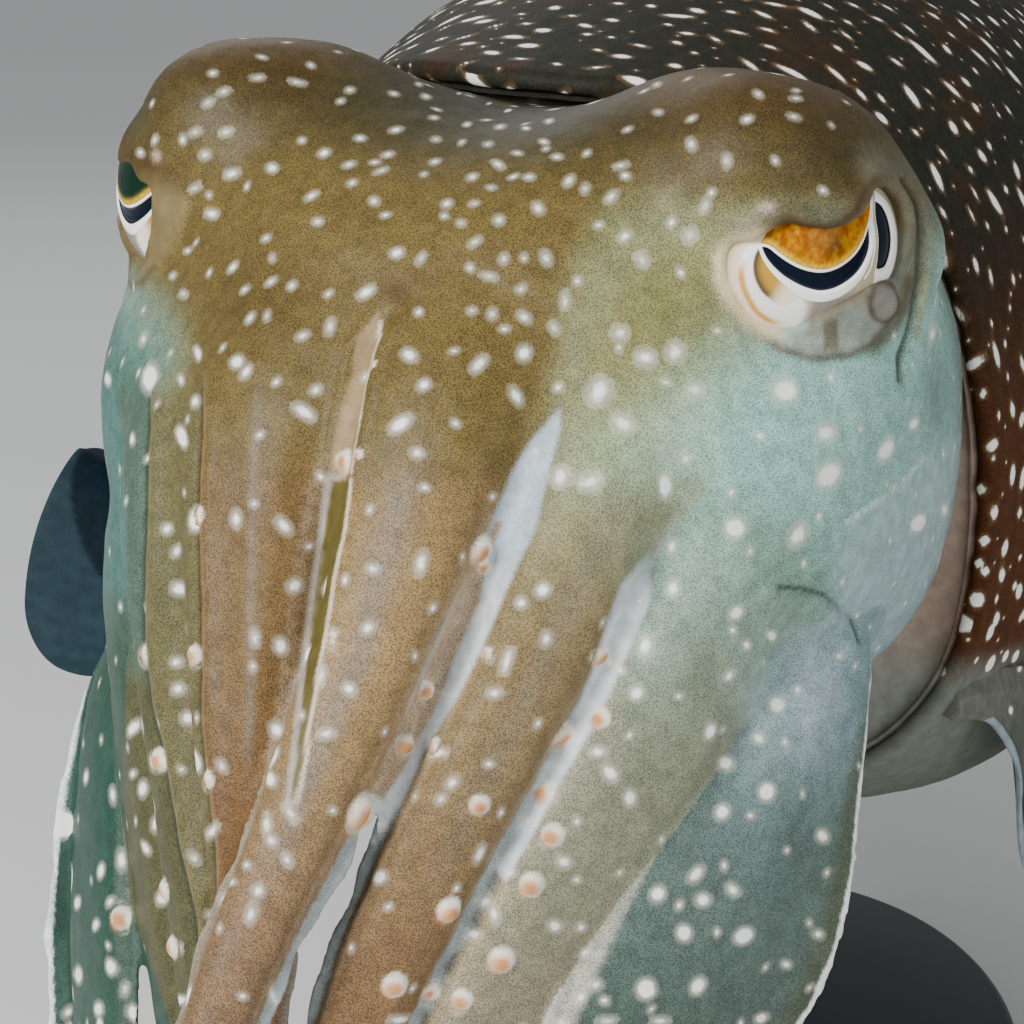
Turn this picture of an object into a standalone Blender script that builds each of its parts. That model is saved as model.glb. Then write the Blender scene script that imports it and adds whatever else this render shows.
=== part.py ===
"""Broadclub cuttlefish, life size, hovering with its arms hanging, on a plain display stand.

Anterior is -Y, the animal's left is +X, up is +Z. Sizes below are millimetres measured from the
midpoint between the two eyes; ORIGIN moves everything so that the centre of the stand's underside
is the origin of the model.
"""
import bpy
import bmesh
import numpy as np
from math import pi, radians
from mathutils import Vector

# ------------------------------------------------------------------ driving sizes, millimetres
MM = 0.001
ORIGIN = np.array([0.0, 115.0, -195.0])  # centre of the stand's underside, seen from the eyes
GAP = 0.3  # between touching pieces
TAIL_Y = 322.0  # tail tip; the mantle is about 300 long

# mantle: stations along Y, half width, top, bottom and the height of the widest level
M_Y = [20, 45, 80, 120, 165, 210, 255, 290, 312, 322]
M_A = [58, 62, 70, 75, 76, 71, 58, 40, 20, 2]
M_T = [12, 18.5, 26, 29, 26, 16, -2, -22, -38, -48]
M_B = [-97, -103, -113, -116, -111, -102, -88, -73, -59, -51]
M_LOW = ([20, 60, 85, 150, 300], [2.3, 2.8, 3.3, 2.8, 2.2])
M_W = [-54, -56, -59, -61, -62, -61, -57, -53, -50, -49]
LIP_LATERAL, LIP_DORSAL, LIP_VENTRAL = 46.0, 25.0, 3.0  # where the collar's edge lies
WALL = 3.0  # thickness of the collar
POCKET_Y = 58.0  # floor of the collar's pocket, where the neck enters

# head: stations along Y, half width, top, bottom and squareness
H_Y = [57.7, 44, 28, 10, -4, -16, -26, -32, -37]
H_A = [52, 57, 60, 58.5, 56, 50.5, 41, 29, 12]
H_T = [1, 4, 7, 8, 7, 3.5, -3, -11, -20]
H_B = [-77, -80, -81, -79, -74, -67, -57, -48, -37]
H_N = [2.4, 2.6, 2.8, 2.9, 2.8, 2.7, 2.5, 2.3, 2.1]
BROW_X, BROW_Y, BROW_SX, BROW_SY, BROW_H = 35.0, 3.0, 19.0, 21.0, 15.5
FACE_NARROW = 0.22  # how much the face narrows ahead of the eyes

EYE = np.array([39.2, 2.0, -4.5])
EYE_R = 16.0
EYE_AZIMUTH = 66.0  # the eye looks this far round from straight ahead
EYE_SKIN, EYE_SWELL, EYE_BACK = 1.8, 1.14, 4.5  # skin over the eyeball, its extra height and its set back
# opening in the skin: direction round, half width, slope, half height; the right eye looks further back
EYE_OPEN = {1: (54.0, 66.0, -13.0, 30.0), -1: (72.0, 52.0, -6.0, 25.0)}
# the lids: centre from the eye's, and radius; the lower one is drawn back on the left
LIDS = {1: [(-3.0, -2.8, 7.0, 15.2)], -1: [(-3.0, -2.8, 7.2, 15.0), (-2.5, -2.5, -3.5, 15.6)]}

# arms, numbered from the dorsal pair: centre line, (fraction, width), (fraction, thickness),
# and the direction that the outer side faces, in degrees round from straight ahead
ARMS = {
    "left_1": dict(
        line=[(9, -17, -12), (8.5, -34, -24), (5.8, -46, -47), (1.4, -58, -68), (-3.4, -71, -90), (-8, -83, -118), (-9, -91, -146)],
        w=[(0, 24), (.13, 22.5), (.3, 14.2), (.48, 10.5), (.66, 7.5), (1, 2)],
        h=[(0, 20), (.15, 17), (.35, 13), (.55, 9), (.75, 6), (1, 2)], face=10),
    "right_1": dict(
        line=[(12.5, -17, -12), (14.5, -33, -24), (12.2, -44.5, -47), (9.0, -53, -68), (5.2, -59, -90), (4.8, -64, -118), (5.4, -67.5, -144)],
        w=[(0, 24), (.13, 22.5), (.32, 16.5), (.5, 10.5), (.66, 7.5), (1, 2)],
        h=[(0, 20), (.15, 17), (.35, 13), (.55, 9), (.75, 6), (1, 2)], face=10),
    "left_2": dict(
        line=[(24, -13, -20), (27, -29, -31), (21, -39.5, -55), (13, -49, -78), (6, -58, -104), (3.5, -63, -130), (4, -65, -148)],
        w=[(0, 19), (.15, 17), (.35, 13), (.55, 11.5), (.75, 8), (1, 2)],
        h=[(0, 18), (.15, 16), (.35, 12), (.55, 9), (.75, 6), (1, 2)], face=36),
    "right_2": dict(
        line=[(25, -13, -20), (29, -29, -31), (24.4, -39.8, -55), (17.8, -48.4, -78), (11.5, -57, -104), (9, -62, -130), (9, -64, -148)],
        w=[(0, 19), (.15, 17.5), (.35, 14), (.55, 11.5), (.75, 8), (1, 2)],
        h=[(0, 18), (.15, 16), (.35, 12), (.55, 9), (.75, 6), (1, 2)], face=36),
    "left_3": dict(
        line=[(34, -7, -33), (38.5, -19, -45), (33, -30, -66), (24, -40, -88), (14, -50, -114), (9, -57, -152)],
        w=[(0, 22), (.15, 22), (.35, 20), (.55, 17), (.75, 11), (1, 2)],
        h=[(0, 18), (.15, 15), (.35, 12), (.55, 9), (.75, 6), (1, 2)], face=60),
    "right_3": dict(
        line=[(34, -7, -33), (38.5, -19, -45), (34, -30, -66), (27, -40, -88), (19, -50, -114), (15, -57, -150)],
        w=[(0, 22), (.15, 22), (.35, 20), (.55, 17), (.75, 11), (1, 2)],
        h=[(0, 18), (.15, 15), (.35, 12), (.55, 9), (.75, 6), (1, 2)], face=60),
    "left_4": dict(
        line=[(41, 8, -50), (47.5, -4, -59), (47, -17, -77), (43.5, -26, -95), (38, -35, -118), (29, -45, -146), (21, -52, -172)],
        w=[(0, 20), (.12, 26), (.3, 32), (.5, 37), (.7, 31), (.88, 15), (1, 3)],
        h=[(0, 16), (.12, 12), (.3, 9), (.5, 7), (.75, 5), (1, 2)], face=52),
}
ARMS["right_4"] = dict(
    ARMS["left_4"],
    line=[(41, 8, -50), (47.5, -4, -59), (48, -17, -77), (46, -26, -95), (41.5, -35, -118), (33, -45, -146), (24, -52, -172)])
WEB_FROM, WEB_TO, WEB_THICK = 0.10, 0.38, 1.7  # membranes that join the arms' bases
WEBS = [("dorsal", "left_1", "right_1")] + [
    (f"{side}_{k}_{k + 1}", f"{side}_{k}", f"{side}_{k + 1}") for side in ("left", "right") for k in (1, 2, 3)]
ARM_SPLIT = 0.46  # each arm is two lengths, parted here
ARM_SIDES, ARM_BASE_RINGS, ARM_TIP_RINGS = 11, 7, 6

# fins: root from just behind the collar to the tail; width, droop and sweep along it
FIN_FROM, FIN_TO = 47.0, 318.0
FIN_THICK, FIN_EDGE = 3.2, 1.0
FIN_WIDTH = {
    1: ([47, 56, 62, 69, 80, 100, 150, 200, 260, 290, 304, 312, 318], [2, 4, 13, 29, 37, 38, 38, 38, 36, 31, 23, 13, 3]),
    -1: ([47, 49, 54, 62, 74, 88, 110, 150, 200, 260, 290, 304, 312, 318], [3, 18, 34, 43, 44, 40, 37, 38, 38, 36, 31, 23, 13, 3]),
}
FIN_DROOP = {
    1: ([47, 60, 70, 82, 108, 145, 180, 215, 250, 290, 320], [50, 66, 84, 80, 42, 8, 12, 32, 18, 8, 14]),
    -1: ([47, 52, 62, 76, 95, 125, 150, 180, 210, 245, 290, 320], [34, 26, 0, -32, -20, 22, 34, 12, 4, 26, 20, 14]),
}
FIN_SWEEP = {1: -12.0, -1: -26.0}  # forward sweep of the front lobe

# funnel, under the head
FUNNEL = [(64, -88, 11), (44, -88, 11), (24, -90, 10.5), (6, -91.5, 9.5), (-8, -92, 8)]

# stand
BASE_A, BASE_B, BASE_H = 62.0, 92.0, 10.0  # half width, half length, thickness
ROD_R = 4.5
ROD_Y = {"front": 66.0, "rear": 172.0}


# ------------------------------------------------------------------ small mathematics
def pchip(x, xs, ys):
    """Monotone cubic curve through the stations."""
    xs, ys = np.asarray(xs, float), np.asarray(ys, float)
    if xs[0] > xs[-1]:
        xs, ys = xs[::-1], ys[::-1]
    x = np.clip(np.asarray(x, float), xs[0], xs[-1])
    h, d = np.diff(xs), np.diff(ys) / np.diff(xs)
    m = np.zeros_like(ys)
    for k in range(1, len(xs) - 1):
        if d[k - 1] * d[k] > 0:
            w1, w2 = 2 * h[k] + h[k - 1], h[k] + 2 * h[k - 1]
            m[k] = (w1 + w2) / (w1 / d[k - 1] + w2 / d[k])
    m[0], m[-1] = d[0], d[-1]
    i = np.clip(np.searchsorted(xs, x, side="right") - 1, 0, len(xs) - 2)
    t, hh = (x - xs[i]) / h[i], h[i]
    return ((1 + 2 * t) * (1 - t) ** 2 * ys[i] + t * (1 - t) ** 2 * hh * m[i]
            + t * t * (3 - 2 * t) * ys[i + 1] + t * t * (t - 1) * hh * m[i + 1])


def spline(t, points):
    """Catmull-Rom curve by chord length: points, unit tangents and length."""
    P = np.asarray(points, float)
    L = np.concatenate([[0], np.cumsum(np.linalg.norm(np.diff(P, axis=0), axis=1))])
    u, n = L / L[-1], len(P)
    m = np.zeros_like(P)
    for k in range(n):
        if k in (0, n - 1):
            a, b = (0, 1) if k == 0 else (n - 2, n - 1)
            m[k] = (P[b] - P[a]) / (u[b] - u[a])
        else:
            a = (P[k] - P[k - 1]) / (u[k] - u[k - 1])
            b = (P[k + 1] - P[k]) / (u[k + 1] - u[k])
            m[k] = (a * (u[k + 1] - u[k]) + b * (u[k] - u[k - 1])) / (u[k + 1] - u[k - 1])
    t = np.asarray(t, float)
    i = np.clip(np.searchsorted(u, t, side="right") - 1, 0, n - 2)
    h = (u[i + 1] - u[i])[..., None]
    s = ((t - u[i]) / (u[i + 1] - u[i]))[..., None]
    p = ((1 + 2 * s) * (1 - s) ** 2 * P[i] + s * (1 - s) ** 2 * h * m[i]
         + s * s * (3 - 2 * s) * P[i + 1] + s * s * (s - 1) * h * m[i + 1])
    d = ((6 * s * s - 6 * s) * P[i] / h + (3 * s * s - 4 * s + 1) * m[i]
         + (6 * s - 6 * s * s) * P[i + 1] / h + (3 * s * s - 2 * s) * m[i + 1])
    return p, d / np.linalg.norm(d, axis=-1, keepdims=True), L[-1]


def power(c, n):
    """cos or sin raised for a superellipse of squareness n."""
    return np.sign(c) * np.abs(c) ** (2.0 / n)


# ------------------------------------------------------------------ objects
for ob in list(bpy.data.objects):
    bpy.data.objects.remove(ob, do_unlink=True)

parts = bpy.data.collections.new("cuttlefish")
cutters = bpy.data.collections.new("cutters")
for c in (parts, cutters):
    bpy.context.scene.collection.children.link(c)


def material(name, colour, rough, metallic=0.0):
    m = bpy.data.materials.new(name)
    m.use_nodes = True
    b = m.node_tree.nodes["Principled BSDF"]
    b.inputs["Base Color"].default_value = (*colour, 1)
    b.inputs["Roughness"].default_value = rough
    b.inputs["Metallic"].default_value = metallic
    return m


def build(name, verts, faces, mat, smooth=True, coll=None):
    """A mesh object from millimetre points about the eyes."""
    me = bpy.data.meshes.new(name)
    me.from_pydata([tuple((np.asarray(v) - ORIGIN) * MM) for v in verts], [], faces)
    bm = bmesh.new()
    bm.from_mesh(me)
    bmesh.ops.recalc_face_normals(bm, faces=bm.faces)
    bm.to_mesh(me)
    bm.free()
    ob = bpy.data.objects.new(name, me)
    (coll or parts).objects.link(ob)
    if mat:
        me.materials.append(mat)
    if smooth:
        me.shade_smooth()
        me.set_sharp_from_angle(angle=radians(50))
    return ob


def loft(rings, cap_start=True, cap_end=True):
    """Closed tube through rings (rings, sides, 3), with a fan at each end."""
    nr, nc = rings.shape[:2]
    verts = list(rings.reshape(-1, 3))
    faces = []
    for i in range(nr - 1):
        for j in range(nc):
            k = (j + 1) % nc
            faces.append((i * nc + j, i * nc + k, (i + 1) * nc + k, (i + 1) * nc + j))
    for cap, i in ((cap_start, 0), (cap_end, nr - 1)):
        if cap:
            verts.append(rings[i].mean(axis=0))
            c = len(verts) - 1
            for j in range(nc):
                faces.append((c, i * nc + (j + 1) % nc, i * nc + j))
    return verts, faces


def swollen(ob, by, name):
    """A cutter: the object's surface moved outward by millimetres."""
    me = ob.data.copy()
    bm = bmesh.new()
    bm.from_mesh(me)
    bm.normal_update()
    move = {v: v.normal * (by * MM * min(v.calc_shell_factor(), 1.6)) for v in bm.verts}
    for v, d in move.items():
        v.co += d
    bm.to_mesh(me)
    bm.free()
    cut = bpy.data.objects.new(name, me)
    cutters.objects.link(cut)
    cut.hide_render = True
    cut.display_type = "WIRE"
    return cut


def boolean(ob, other, operation="DIFFERENCE"):
    """Apply an exact Boolean and keep the main body."""
    mod = ob.modifiers.new("cut", "BOOLEAN")
    mod.operation = operation
    mod.solver = "EXACT"
    mod.object = other
    bpy.context.view_layer.update()
    me = bpy.data.meshes.new_from_object(ob.evaluated_get(bpy.context.evaluated_depsgraph_get()))
    ob.modifiers.remove(mod)
    bm = bmesh.new()
    bm.from_mesh(me)
    bmesh.ops.remove_doubles(bm, verts=bm.verts, dist=0.00002)
    bmesh.ops.dissolve_degenerate(bm, dist=0.00002, edges=bm.edges)
    # leave out scraps that the cut parted from the main body
    seen, groups = set(), []
    for f in bm.faces:
        if f in seen:
            continue
        stack, group = [f], []
        seen.add(f)
        while stack:
            g = stack.pop()
            group.append(g)
            for e in g.edges:
                for h in e.link_faces:
                    if h not in seen:
                        seen.add(h)
                        stack.append(h)
        groups.append(group)
    groups.sort(key=lambda g: sum(f.calc_area() for f in g), reverse=True)
    for g in groups[1:]:
        bmesh.ops.delete(bm, geom=g, context="FACES")
    loose = [v for v in bm.verts if not v.link_faces]
    bmesh.ops.delete(bm, geom=loose, context="VERTS")
    bmesh.ops.triangulate(bm, faces=[f for f in bm.faces if len(f.verts) > 4])
    bm.to_mesh(me)
    bm.free()
    old = ob.data
    ob.data = me
    bpy.data.meshes.remove(old)
    me.shade_smooth()
    me.set_sharp_from_angle(angle=radians(50))
    return ob


SKIN_DARK = material("skin_dark", (0.16, 0.075, 0.045), 0.42)
SKIN_BROWN = material("skin_brown", (0.33, 0.24, 0.13), 0.40)
SKIN_PALE = material("skin_pale", (0.42, 0.48, 0.47), 0.38)
FIN_SKIN = material("fin_skin", (0.35, 0.42, 0.48), 0.35)
EYE_GLOSS = material("eye_gloss", (0.60, 0.42, 0.10), 0.12)
STAND_STEEL = material("stand_steel", (0.03, 0.03, 0.033), 0.5, 0.6)


# ------------------------------------------------------------------ mantle
def mantle_surface(y, th, inset=0.0):
    """Point of the mantle's outside at station y and angle th (0 left, pi/2 top)."""
    a = pchip(y, M_Y, M_A) - inset
    zw = pchip(y, M_Y, M_W)
    up, down = pchip(y, M_Y, M_T) - inset - zw, pchip(y, M_Y, M_B) + inset - zw
    c, s = np.cos(th), np.sin(th)
    n = np.where(s >= 0, pchip(y, [20, 120, 300], [2.42, 2.3, 2.1]), pchip(y, *M_LOW))
    z = zw + np.where(s >= 0, up, down) * np.abs(s) ** (2 / n)
    return np.stack([a * np.sign(c) * np.abs(c) ** (2 / n), y + 0 * c, z], -1)


def lip_y(th):
    """The collar's edge: a lobe over the nape, level at the sides."""
    s = np.sin(th)
    return LIP_LATERAL - LIP_DORSAL * np.clip(s, 0, 1) ** 8 - LIP_VENTRAL * np.clip(-s, 0, 1) ** 2


def make_mantle(sides=30):
    th = np.linspace(0, 2 * pi, sides, endpoint=False)
    rings = []
    # pocket floor and inner wall, from the middle outwards
    inner = mantle_surface(np.full(sides, POCKET_Y), th, WALL + 3.0)
    rings.append(inner * [0.5, 1, 1] + [0, 0, 0])
    mid = inner.mean(axis=0)
    rings[0] = mid + (inner - mid) * 0.5
    rings.append(inner)
    edge = lip_y(th)
    rings.append(mantle_surface((edge + POCKET_Y) / 2, th, WALL + 0.8))
    rings.append(mantle_surface(edge + 0.8, th, WALL))
    rings.append(mantle_surface(edge - 0.6, th, WALL * 0.5))
    for q in np.linspace(0, 1, 15) ** 1.12:
        rings.append(mantle_surface(edge + 0.6 + (TAIL_Y - edge - 0.6) * q, th))
    verts, faces = loft(np.array(rings))
    return build("mantle", verts, faces, SKIN_DARK)


# ------------------------------------------------------------------ head
def head_surface(y, th):
    a, zt, zb, n = (pchip(y, H_Y, k) for k in (H_A, H_T, H_B, H_N))
    zc, hz = (zt + zb) / 2, (zt - zb) / 2
    x = a * power(np.cos(th), n)
    z = zc + hz * power(np.sin(th), n)
    # narrower ahead of the eyes, but not lower down where the arms spring
    ahead, level = np.clip((6 - y) / 26, 0, 1), np.clip((z + 29) / 21, 0, 1)
    x = x * (1 - FACE_NARROW * ahead ** 2 * (3 - 2 * ahead) * level ** 2 * (3 - 2 * level))
    # the swelling over each eye
    d2 = ((np.abs(x) - BROW_X) / BROW_SX) ** 2 + ((y - BROW_Y) / BROW_SY) ** 2
    z = z + BROW_H * np.exp(-d2) * np.clip((z + 20) / 30, 0, 1)
    return np.stack([x, y + 0 * x, z], -1)


def eye_axis(side):
    a = radians(EYE_AZIMUTH)
    return np.array([side * np.sin(a), -np.cos(a), 0.0])


def make_head(sides=28):
    th = np.linspace(0, 2 * pi, sides, endpoint=False)
    ys = [57.7, 48, 38, 29, 21, 13, 6, -1, -8, -14, -20, -25, -30, -34, -36.4]
    rings = [head_surface(np.full(sides, y), th) for y in ys]
    verts, faces = loft(np.array(rings))
    head = build("head", verts, faces, SKIN_BROWN)
    for side in (1, -1):
        c = (EYE * [side, 1, 1] - ORIGIN) * MM
        # skin bulging over and behind the eyeball
        back = ((EYE + [0, EYE_BACK, 0.5]) * [side, 1, 1] - ORIGIN) * MM
        bpy.ops.mesh.primitive_uv_sphere_add(segments=18, ring_count=10, radius=(EYE_R + EYE_SKIN) * MM, location=back)
        bulge = bpy.context.object
        bulge.scale = (1, 1, EYE_SWELL)
        boolean(head, bulge, "UNION")
        bpy.data.objects.remove(bulge)
        for x, y, z, r in LIDS[side]:
            at = ((EYE + [x, y, z]) * [side, 1, 1] - ORIGIN) * MM
            bpy.ops.mesh.primitive_uv_sphere_add(segments=16, ring_count=9, radius=r * MM, location=at)
            lid = bpy.context.object
            boolean(head, lid, "UNION")
            bpy.data.objects.remove(lid)
    for side in (1, -1):
        c = (EYE * [side, 1, 1] - ORIGIN) * MM
        # the opening between the lids: a flattened cone from inside the eyeball, under the brow
        turn, wide, slope, high = (radians(k) for k in EYE_OPEN[side])
        aim = Vector((side * np.sin(turn) * np.cos(slope), -np.cos(turn) * np.cos(slope), np.sin(slope)))
        depth = 9 * MM
        bpy.ops.mesh.primitive_cone_add(vertices=20, radius1=0.0004, radius2=depth, depth=depth)
        cone = bpy.context.object
        cone.scale = (np.tan(wide), np.tan(high) * 2.2, 2.2)
        bpy.ops.object.transform_apply(location=False, rotation=False, scale=True)
        for v in cone.data.vertices:  # no wider than the lids' reach
            v.co.x = np.clip(v.co.x, -26 * MM, 26 * MM)
        cone.rotation_euler = aim.to_track_quat("Z", "Y").to_euler()
        cone.location = Vector(c) + aim * (depth * 1.1 + 0.002)
        bpy.ops.mesh.primitive_uv_sphere_add(segments=18, ring_count=10, radius=(EYE_R + GAP) * MM, location=c)
        socket = bpy.context.object
        socket.rotation_euler = (0, radians(90), radians(90 - EYE_AZIMUTH) * -side)
        boolean(socket, cone, "UNION")
        boolean(head, socket)
        bpy.data.objects.remove(cone)
        bpy.data.objects.remove(socket)
    return head


# ------------------------------------------------------------------ arms
def arm_section(sides):
    """Unit cross-section: rounded outside, flatter inside with a narrow flange at each edge."""
    th = np.linspace(0, 2 * pi, sides, endpoint=False)
    c, s = np.cos(th), np.sin(th)
    n = np.where(s >= 0, 2.2, 3.0)
    x = np.sign(c) * np.abs(c) ** (2 / n)
    y = np.where(s >= 0, 1.0, 0.75) * np.sign(s) * np.abs(s) ** (2 / n)
    return x, y


def arm_frame(key, t):
    """Centre line, outward and sideways directions, half widths and half thicknesses; sides not yet mirrored."""
    arm = ARMS[key]
    P, T, length = spline(t, arm["line"])
    w, h = pchip(t, *zip(*arm["w"])) / 2, pchip(t, *zip(*arm["h"])) / 2
    f = radians(arm["face"])
    out = np.array([np.sin(f), -np.cos(f), 0.25])
    N = out - T * (T @ out)[:, None]
    N /= np.linalg.norm(N, axis=1, keepdims=True)
    B = np.cross(N, T)
    B *= np.sign(B @ np.array([np.cos(f), np.sin(f), 0]))[:, None]
    return P, N, B, w, h, length


def arm_rings(key, side, t, sides):
    P, N, B, w, h, length = arm_frame(key, t)
    x, y = arm_section(sides)
    R = P[:, None] + B[:, None] * (w[:, None] * x)[..., None] + N[:, None] * (h[:, None] * y)[..., None]
    return R * np.array([side, 1, 1]), length


def make_arm(key):
    side = 1 if key.startswith("left") else -1
    mat = SKIN_PALE if key.endswith("4") else SKIN_BROWN
    length = arm_rings(key, side, np.array([0.0, 1.0]), 4)[1]
    half_gap = GAP / 2 / length
    base = arm_rings(key, side, np.linspace(0, ARM_SPLIT - half_gap, ARM_BASE_RINGS), ARM_SIDES)[0]
    tip = arm_rings(key, side, np.linspace(ARM_SPLIT + half_gap, 1, ARM_TIP_RINGS), ARM_SIDES)[0]
    return [build(f"arm_{key}_{part}", *loft(r), mat) for part, r in (("base", base), ("tip", tip))]


def make_web(name, one, two):
    """Membrane from the edge of one arm to the facing edge of the next, with a free lower edge."""
    t = np.linspace(WEB_FROM, WEB_TO, 5)
    edges = []
    for key, toward in ((one, -1 if two == "right_1" else 1), (two, -1)):
        P, N, B, w, h, _ = arm_frame(key, t)
        p = P + B * (toward * 0.62 * w)[:, None] - N * (0.18 * h)[:, None]
        flip = np.array([1 if key.startswith("left") else -1, 1, 1])
        edges.append((p * flip, N * flip))
    (a, na), (b, nb) = edges
    m, nm = (a + b) / 2 - (na + nb) * 0.9, (na + nb) / np.linalg.norm(na + nb, axis=1, keepdims=True)
    # the free edge hangs in a shallow arch
    m[-1] = m[-1] * 0.45 + m[-2] * 0.55
    k = WEB_THICK / 2
    rings = np.stack([a + na * k, m + nm * k, b + nb * k, b - nb * k, m - nm * k, a - na * k], axis=1)
    return build(f"web_{name}", *loft(rings), SKIN_PALE)


# ------------------------------------------------------------------ fins
def fin_root(y, side):
    """Where the fin leaves the mantle, low on its side."""
    zw, zb = pchip(y, M_Y, M_W), pchip(y, M_Y, M_B)
    f = pchip(y, [46, 100, 200, 300, 320], [.52, .42, .30, .1, 0])
    n = pchip(y, *M_LOW)
    x = pchip(y, M_Y, M_A) * np.clip(1 - f ** n, 0, 1) ** (1 / n)
    return np.stack([side * x, y, zw + (zb - zw) * f], -1)


def make_fin(name, side, stations=29):
    q = np.linspace(0, 1, stations)
    y = FIN_FROM + (FIN_TO - FIN_FROM) * (0.45 * q + 0.55 * (3 * q ** 2 - 2 * q ** 3) ** 1.15)  # closer at the ends
    root, w = fin_root(y, side), pchip(y, *FIN_WIDTH[side])
    a = np.radians(pchip(y, *FIN_DROOP[side]))
    sweep = FIN_SWEEP[side]
    turn = np.radians(pchip(y, [47, 66, 100, 270, 300, 320], [sweep, sweep * .7, 0, 12, 30, 55]))
    out = np.stack([side * np.cos(turn) * np.cos(a), np.sin(turn) * np.cos(a), -np.sin(a)], -1)
    along = np.gradient(root, axis=0)
    nrm = np.cross(along, out)
    nrm /= np.linalg.norm(nrm, axis=1, keepdims=True)
    start = -3.5  # the root is let into the mantle and cut back to its surface
    s = np.array([0.0, 0.34, 0.7, 1.0])
    mid = [root + out * (start + (w - start) * q)[:, None] - np.array([0, 0, 1]) * (0.10 * w * q * q)[:, None] for q in s]
    thick = FIN_THICK + (FIN_EDGE - FIN_THICK) * s
    top = [m + nrm * (k / 2) for m, k in zip(mid, thick)]
    low = [m - nrm * (k / 2) for m, k in zip(mid, thick)]
    rings = np.stack(top + low[::-1], axis=1)
    return build(name, *loft(rings), FIN_SKIN)


# ------------------------------------------------------------------ funnel
def make_funnel(sides=12):
    th = np.linspace(0, 2 * pi, sides, endpoint=False)
    stations = [(y, z, r) for y, z, r in FUNNEL]
    stations[0] = (POCKET_Y - GAP, FUNNEL[0][1], FUNNEL[0][2])
    rings = [np.stack([1.25 * r * np.cos(th), np.full(sides, float(y)), z + 0.92 * r * np.sin(th)], -1) for y, z, r in stations]
    y, z, r = FUNNEL[-1]
    for dy, k in ((-1.0, 0.86), (1.0, 0.66), (9.0, 0.52)):  # rounded mouth, then its bore
        rings.append(np.stack([1.25 * r * k * np.cos(th), np.full(sides, y + dy), z + 0.92 * r * k * np.sin(th)], -1))
    return build("funnel", *loft(np.array(rings)), SKIN_PALE)


# ------------------------------------------------------------------ stand
def make_stand(mantle_cut):
    bpy.ops.mesh.primitive_cylinder_add(vertices=32, radius=1, depth=BASE_H * MM, location=(0, 0, BASE_H * MM / 2))
    base = bpy.context.object
    base.name = "stand_base"
    base.scale = (BASE_A * MM, BASE_B * MM, 1)
    bpy.ops.object.transform_apply(location=False, rotation=False, scale=True)
    bev = base.modifiers.new("edge", "BEVEL")
    bev.width, bev.segments, bev.limit_method, bev.angle_limit = 0.0015, 2, "ANGLE", radians(50)
    made = [base]
    for name, y in ROD_Y.items():
        low, high = BASE_H + GAP, -ORIGIN[2] - 104
        bpy.ops.mesh.primitive_cylinder_add(vertices=16, radius=ROD_R * MM, depth=(high - low) * MM,
                                            location=(0, (y - ORIGIN[1]) * MM, (high + low) / 2 * MM))
        rod = bpy.context.object
        rod.name = f"stand_rod_{name}"
        bpy.ops.object.transform_apply(location=True, rotation=False, scale=False)
        boolean(rod, mantle_cut)
        made.append(rod)
    for ob in made:
        ob.data.name = ob.name
        ob.data.materials.clear()
        ob.data.materials.append(STAND_STEEL)
        ob.data.shade_smooth()
        ob.data.set_sharp_from_angle(angle=radians(40))
        for c in list(ob.users_collection):
            c.objects.unlink(ob)
        parts.objects.link(ob)
    return made


def make_eye(side):
    name = "eye_left" if side > 0 else "eye_right"
    bpy.ops.mesh.primitive_uv_sphere_add(segments=18, ring_count=10, radius=EYE_R * MM, location=(EYE * [side, 1, 1] - ORIGIN) * MM)
    ob = bpy.context.object
    ob.name = ob.data.name = name
    ob.rotation_euler = (0, radians(90), radians(90 - EYE_AZIMUTH) * -side)
    ob.data.materials.append(EYE_GLOSS)
    ob.data.shade_smooth()
    for c in list(ob.users_collection):
        c.objects.unlink(ob)
    parts.objects.link(ob)
    return ob


head = make_head()
head_cut = swollen(head, GAP, "cut_head")
funnel = make_funnel()
boolean(funnel, head_cut)
funnel_cut = swollen(funnel, GAP, "cut_funnel")

mantle = make_mantle()
boolean(mantle, head_cut)
boolean(mantle, funnel_cut)
mantle_cut = swollen(mantle, GAP, "cut_mantle")

fins = [make_fin("fin_left", 1), make_fin("fin_right", -1)]
for fin in fins:
    boolean(fin, mantle_cut)

# arms meet the head and each other: each gives way to those before it
done = []
for key in ("left_1", "right_1", "left_2", "right_2", "left_3", "right_3", "left_4", "right_4"):
    pair = make_arm(key)
    for ob in pair:
        if ob.name.endswith("base"):
            boolean(ob, head_cut)
        for other, group in done:
            near = other == "left_1" and key == "right_1" or other[:-1] == key[:-1] and int(key[-1]) - int(other[-1]) == 1
            if near:
                for cut in group:
                    boolean(ob, cut)
    done.append((key, [swollen(ob, GAP, "cut_" + ob.name) for ob in pair]))

arm_cuts = dict(done)
for name, one, two in WEBS:
    web = make_web(name, one, two)
    boolean(web, head_cut)
    for key in (one, two):
        boolean(web, arm_cuts[key][0])

for side in (1, -1):
    make_eye(side)
make_stand(mantle_cut)
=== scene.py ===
"""Broadclub cuttlefish, life size: skin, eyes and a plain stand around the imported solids.

Sizes are millimetres measured from the midpoint between the eyes, as in the solids; ORIGIN moves
them to the model's frame. Anterior is -Y, the animal's left is +X, up is +Z.
"""

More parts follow.
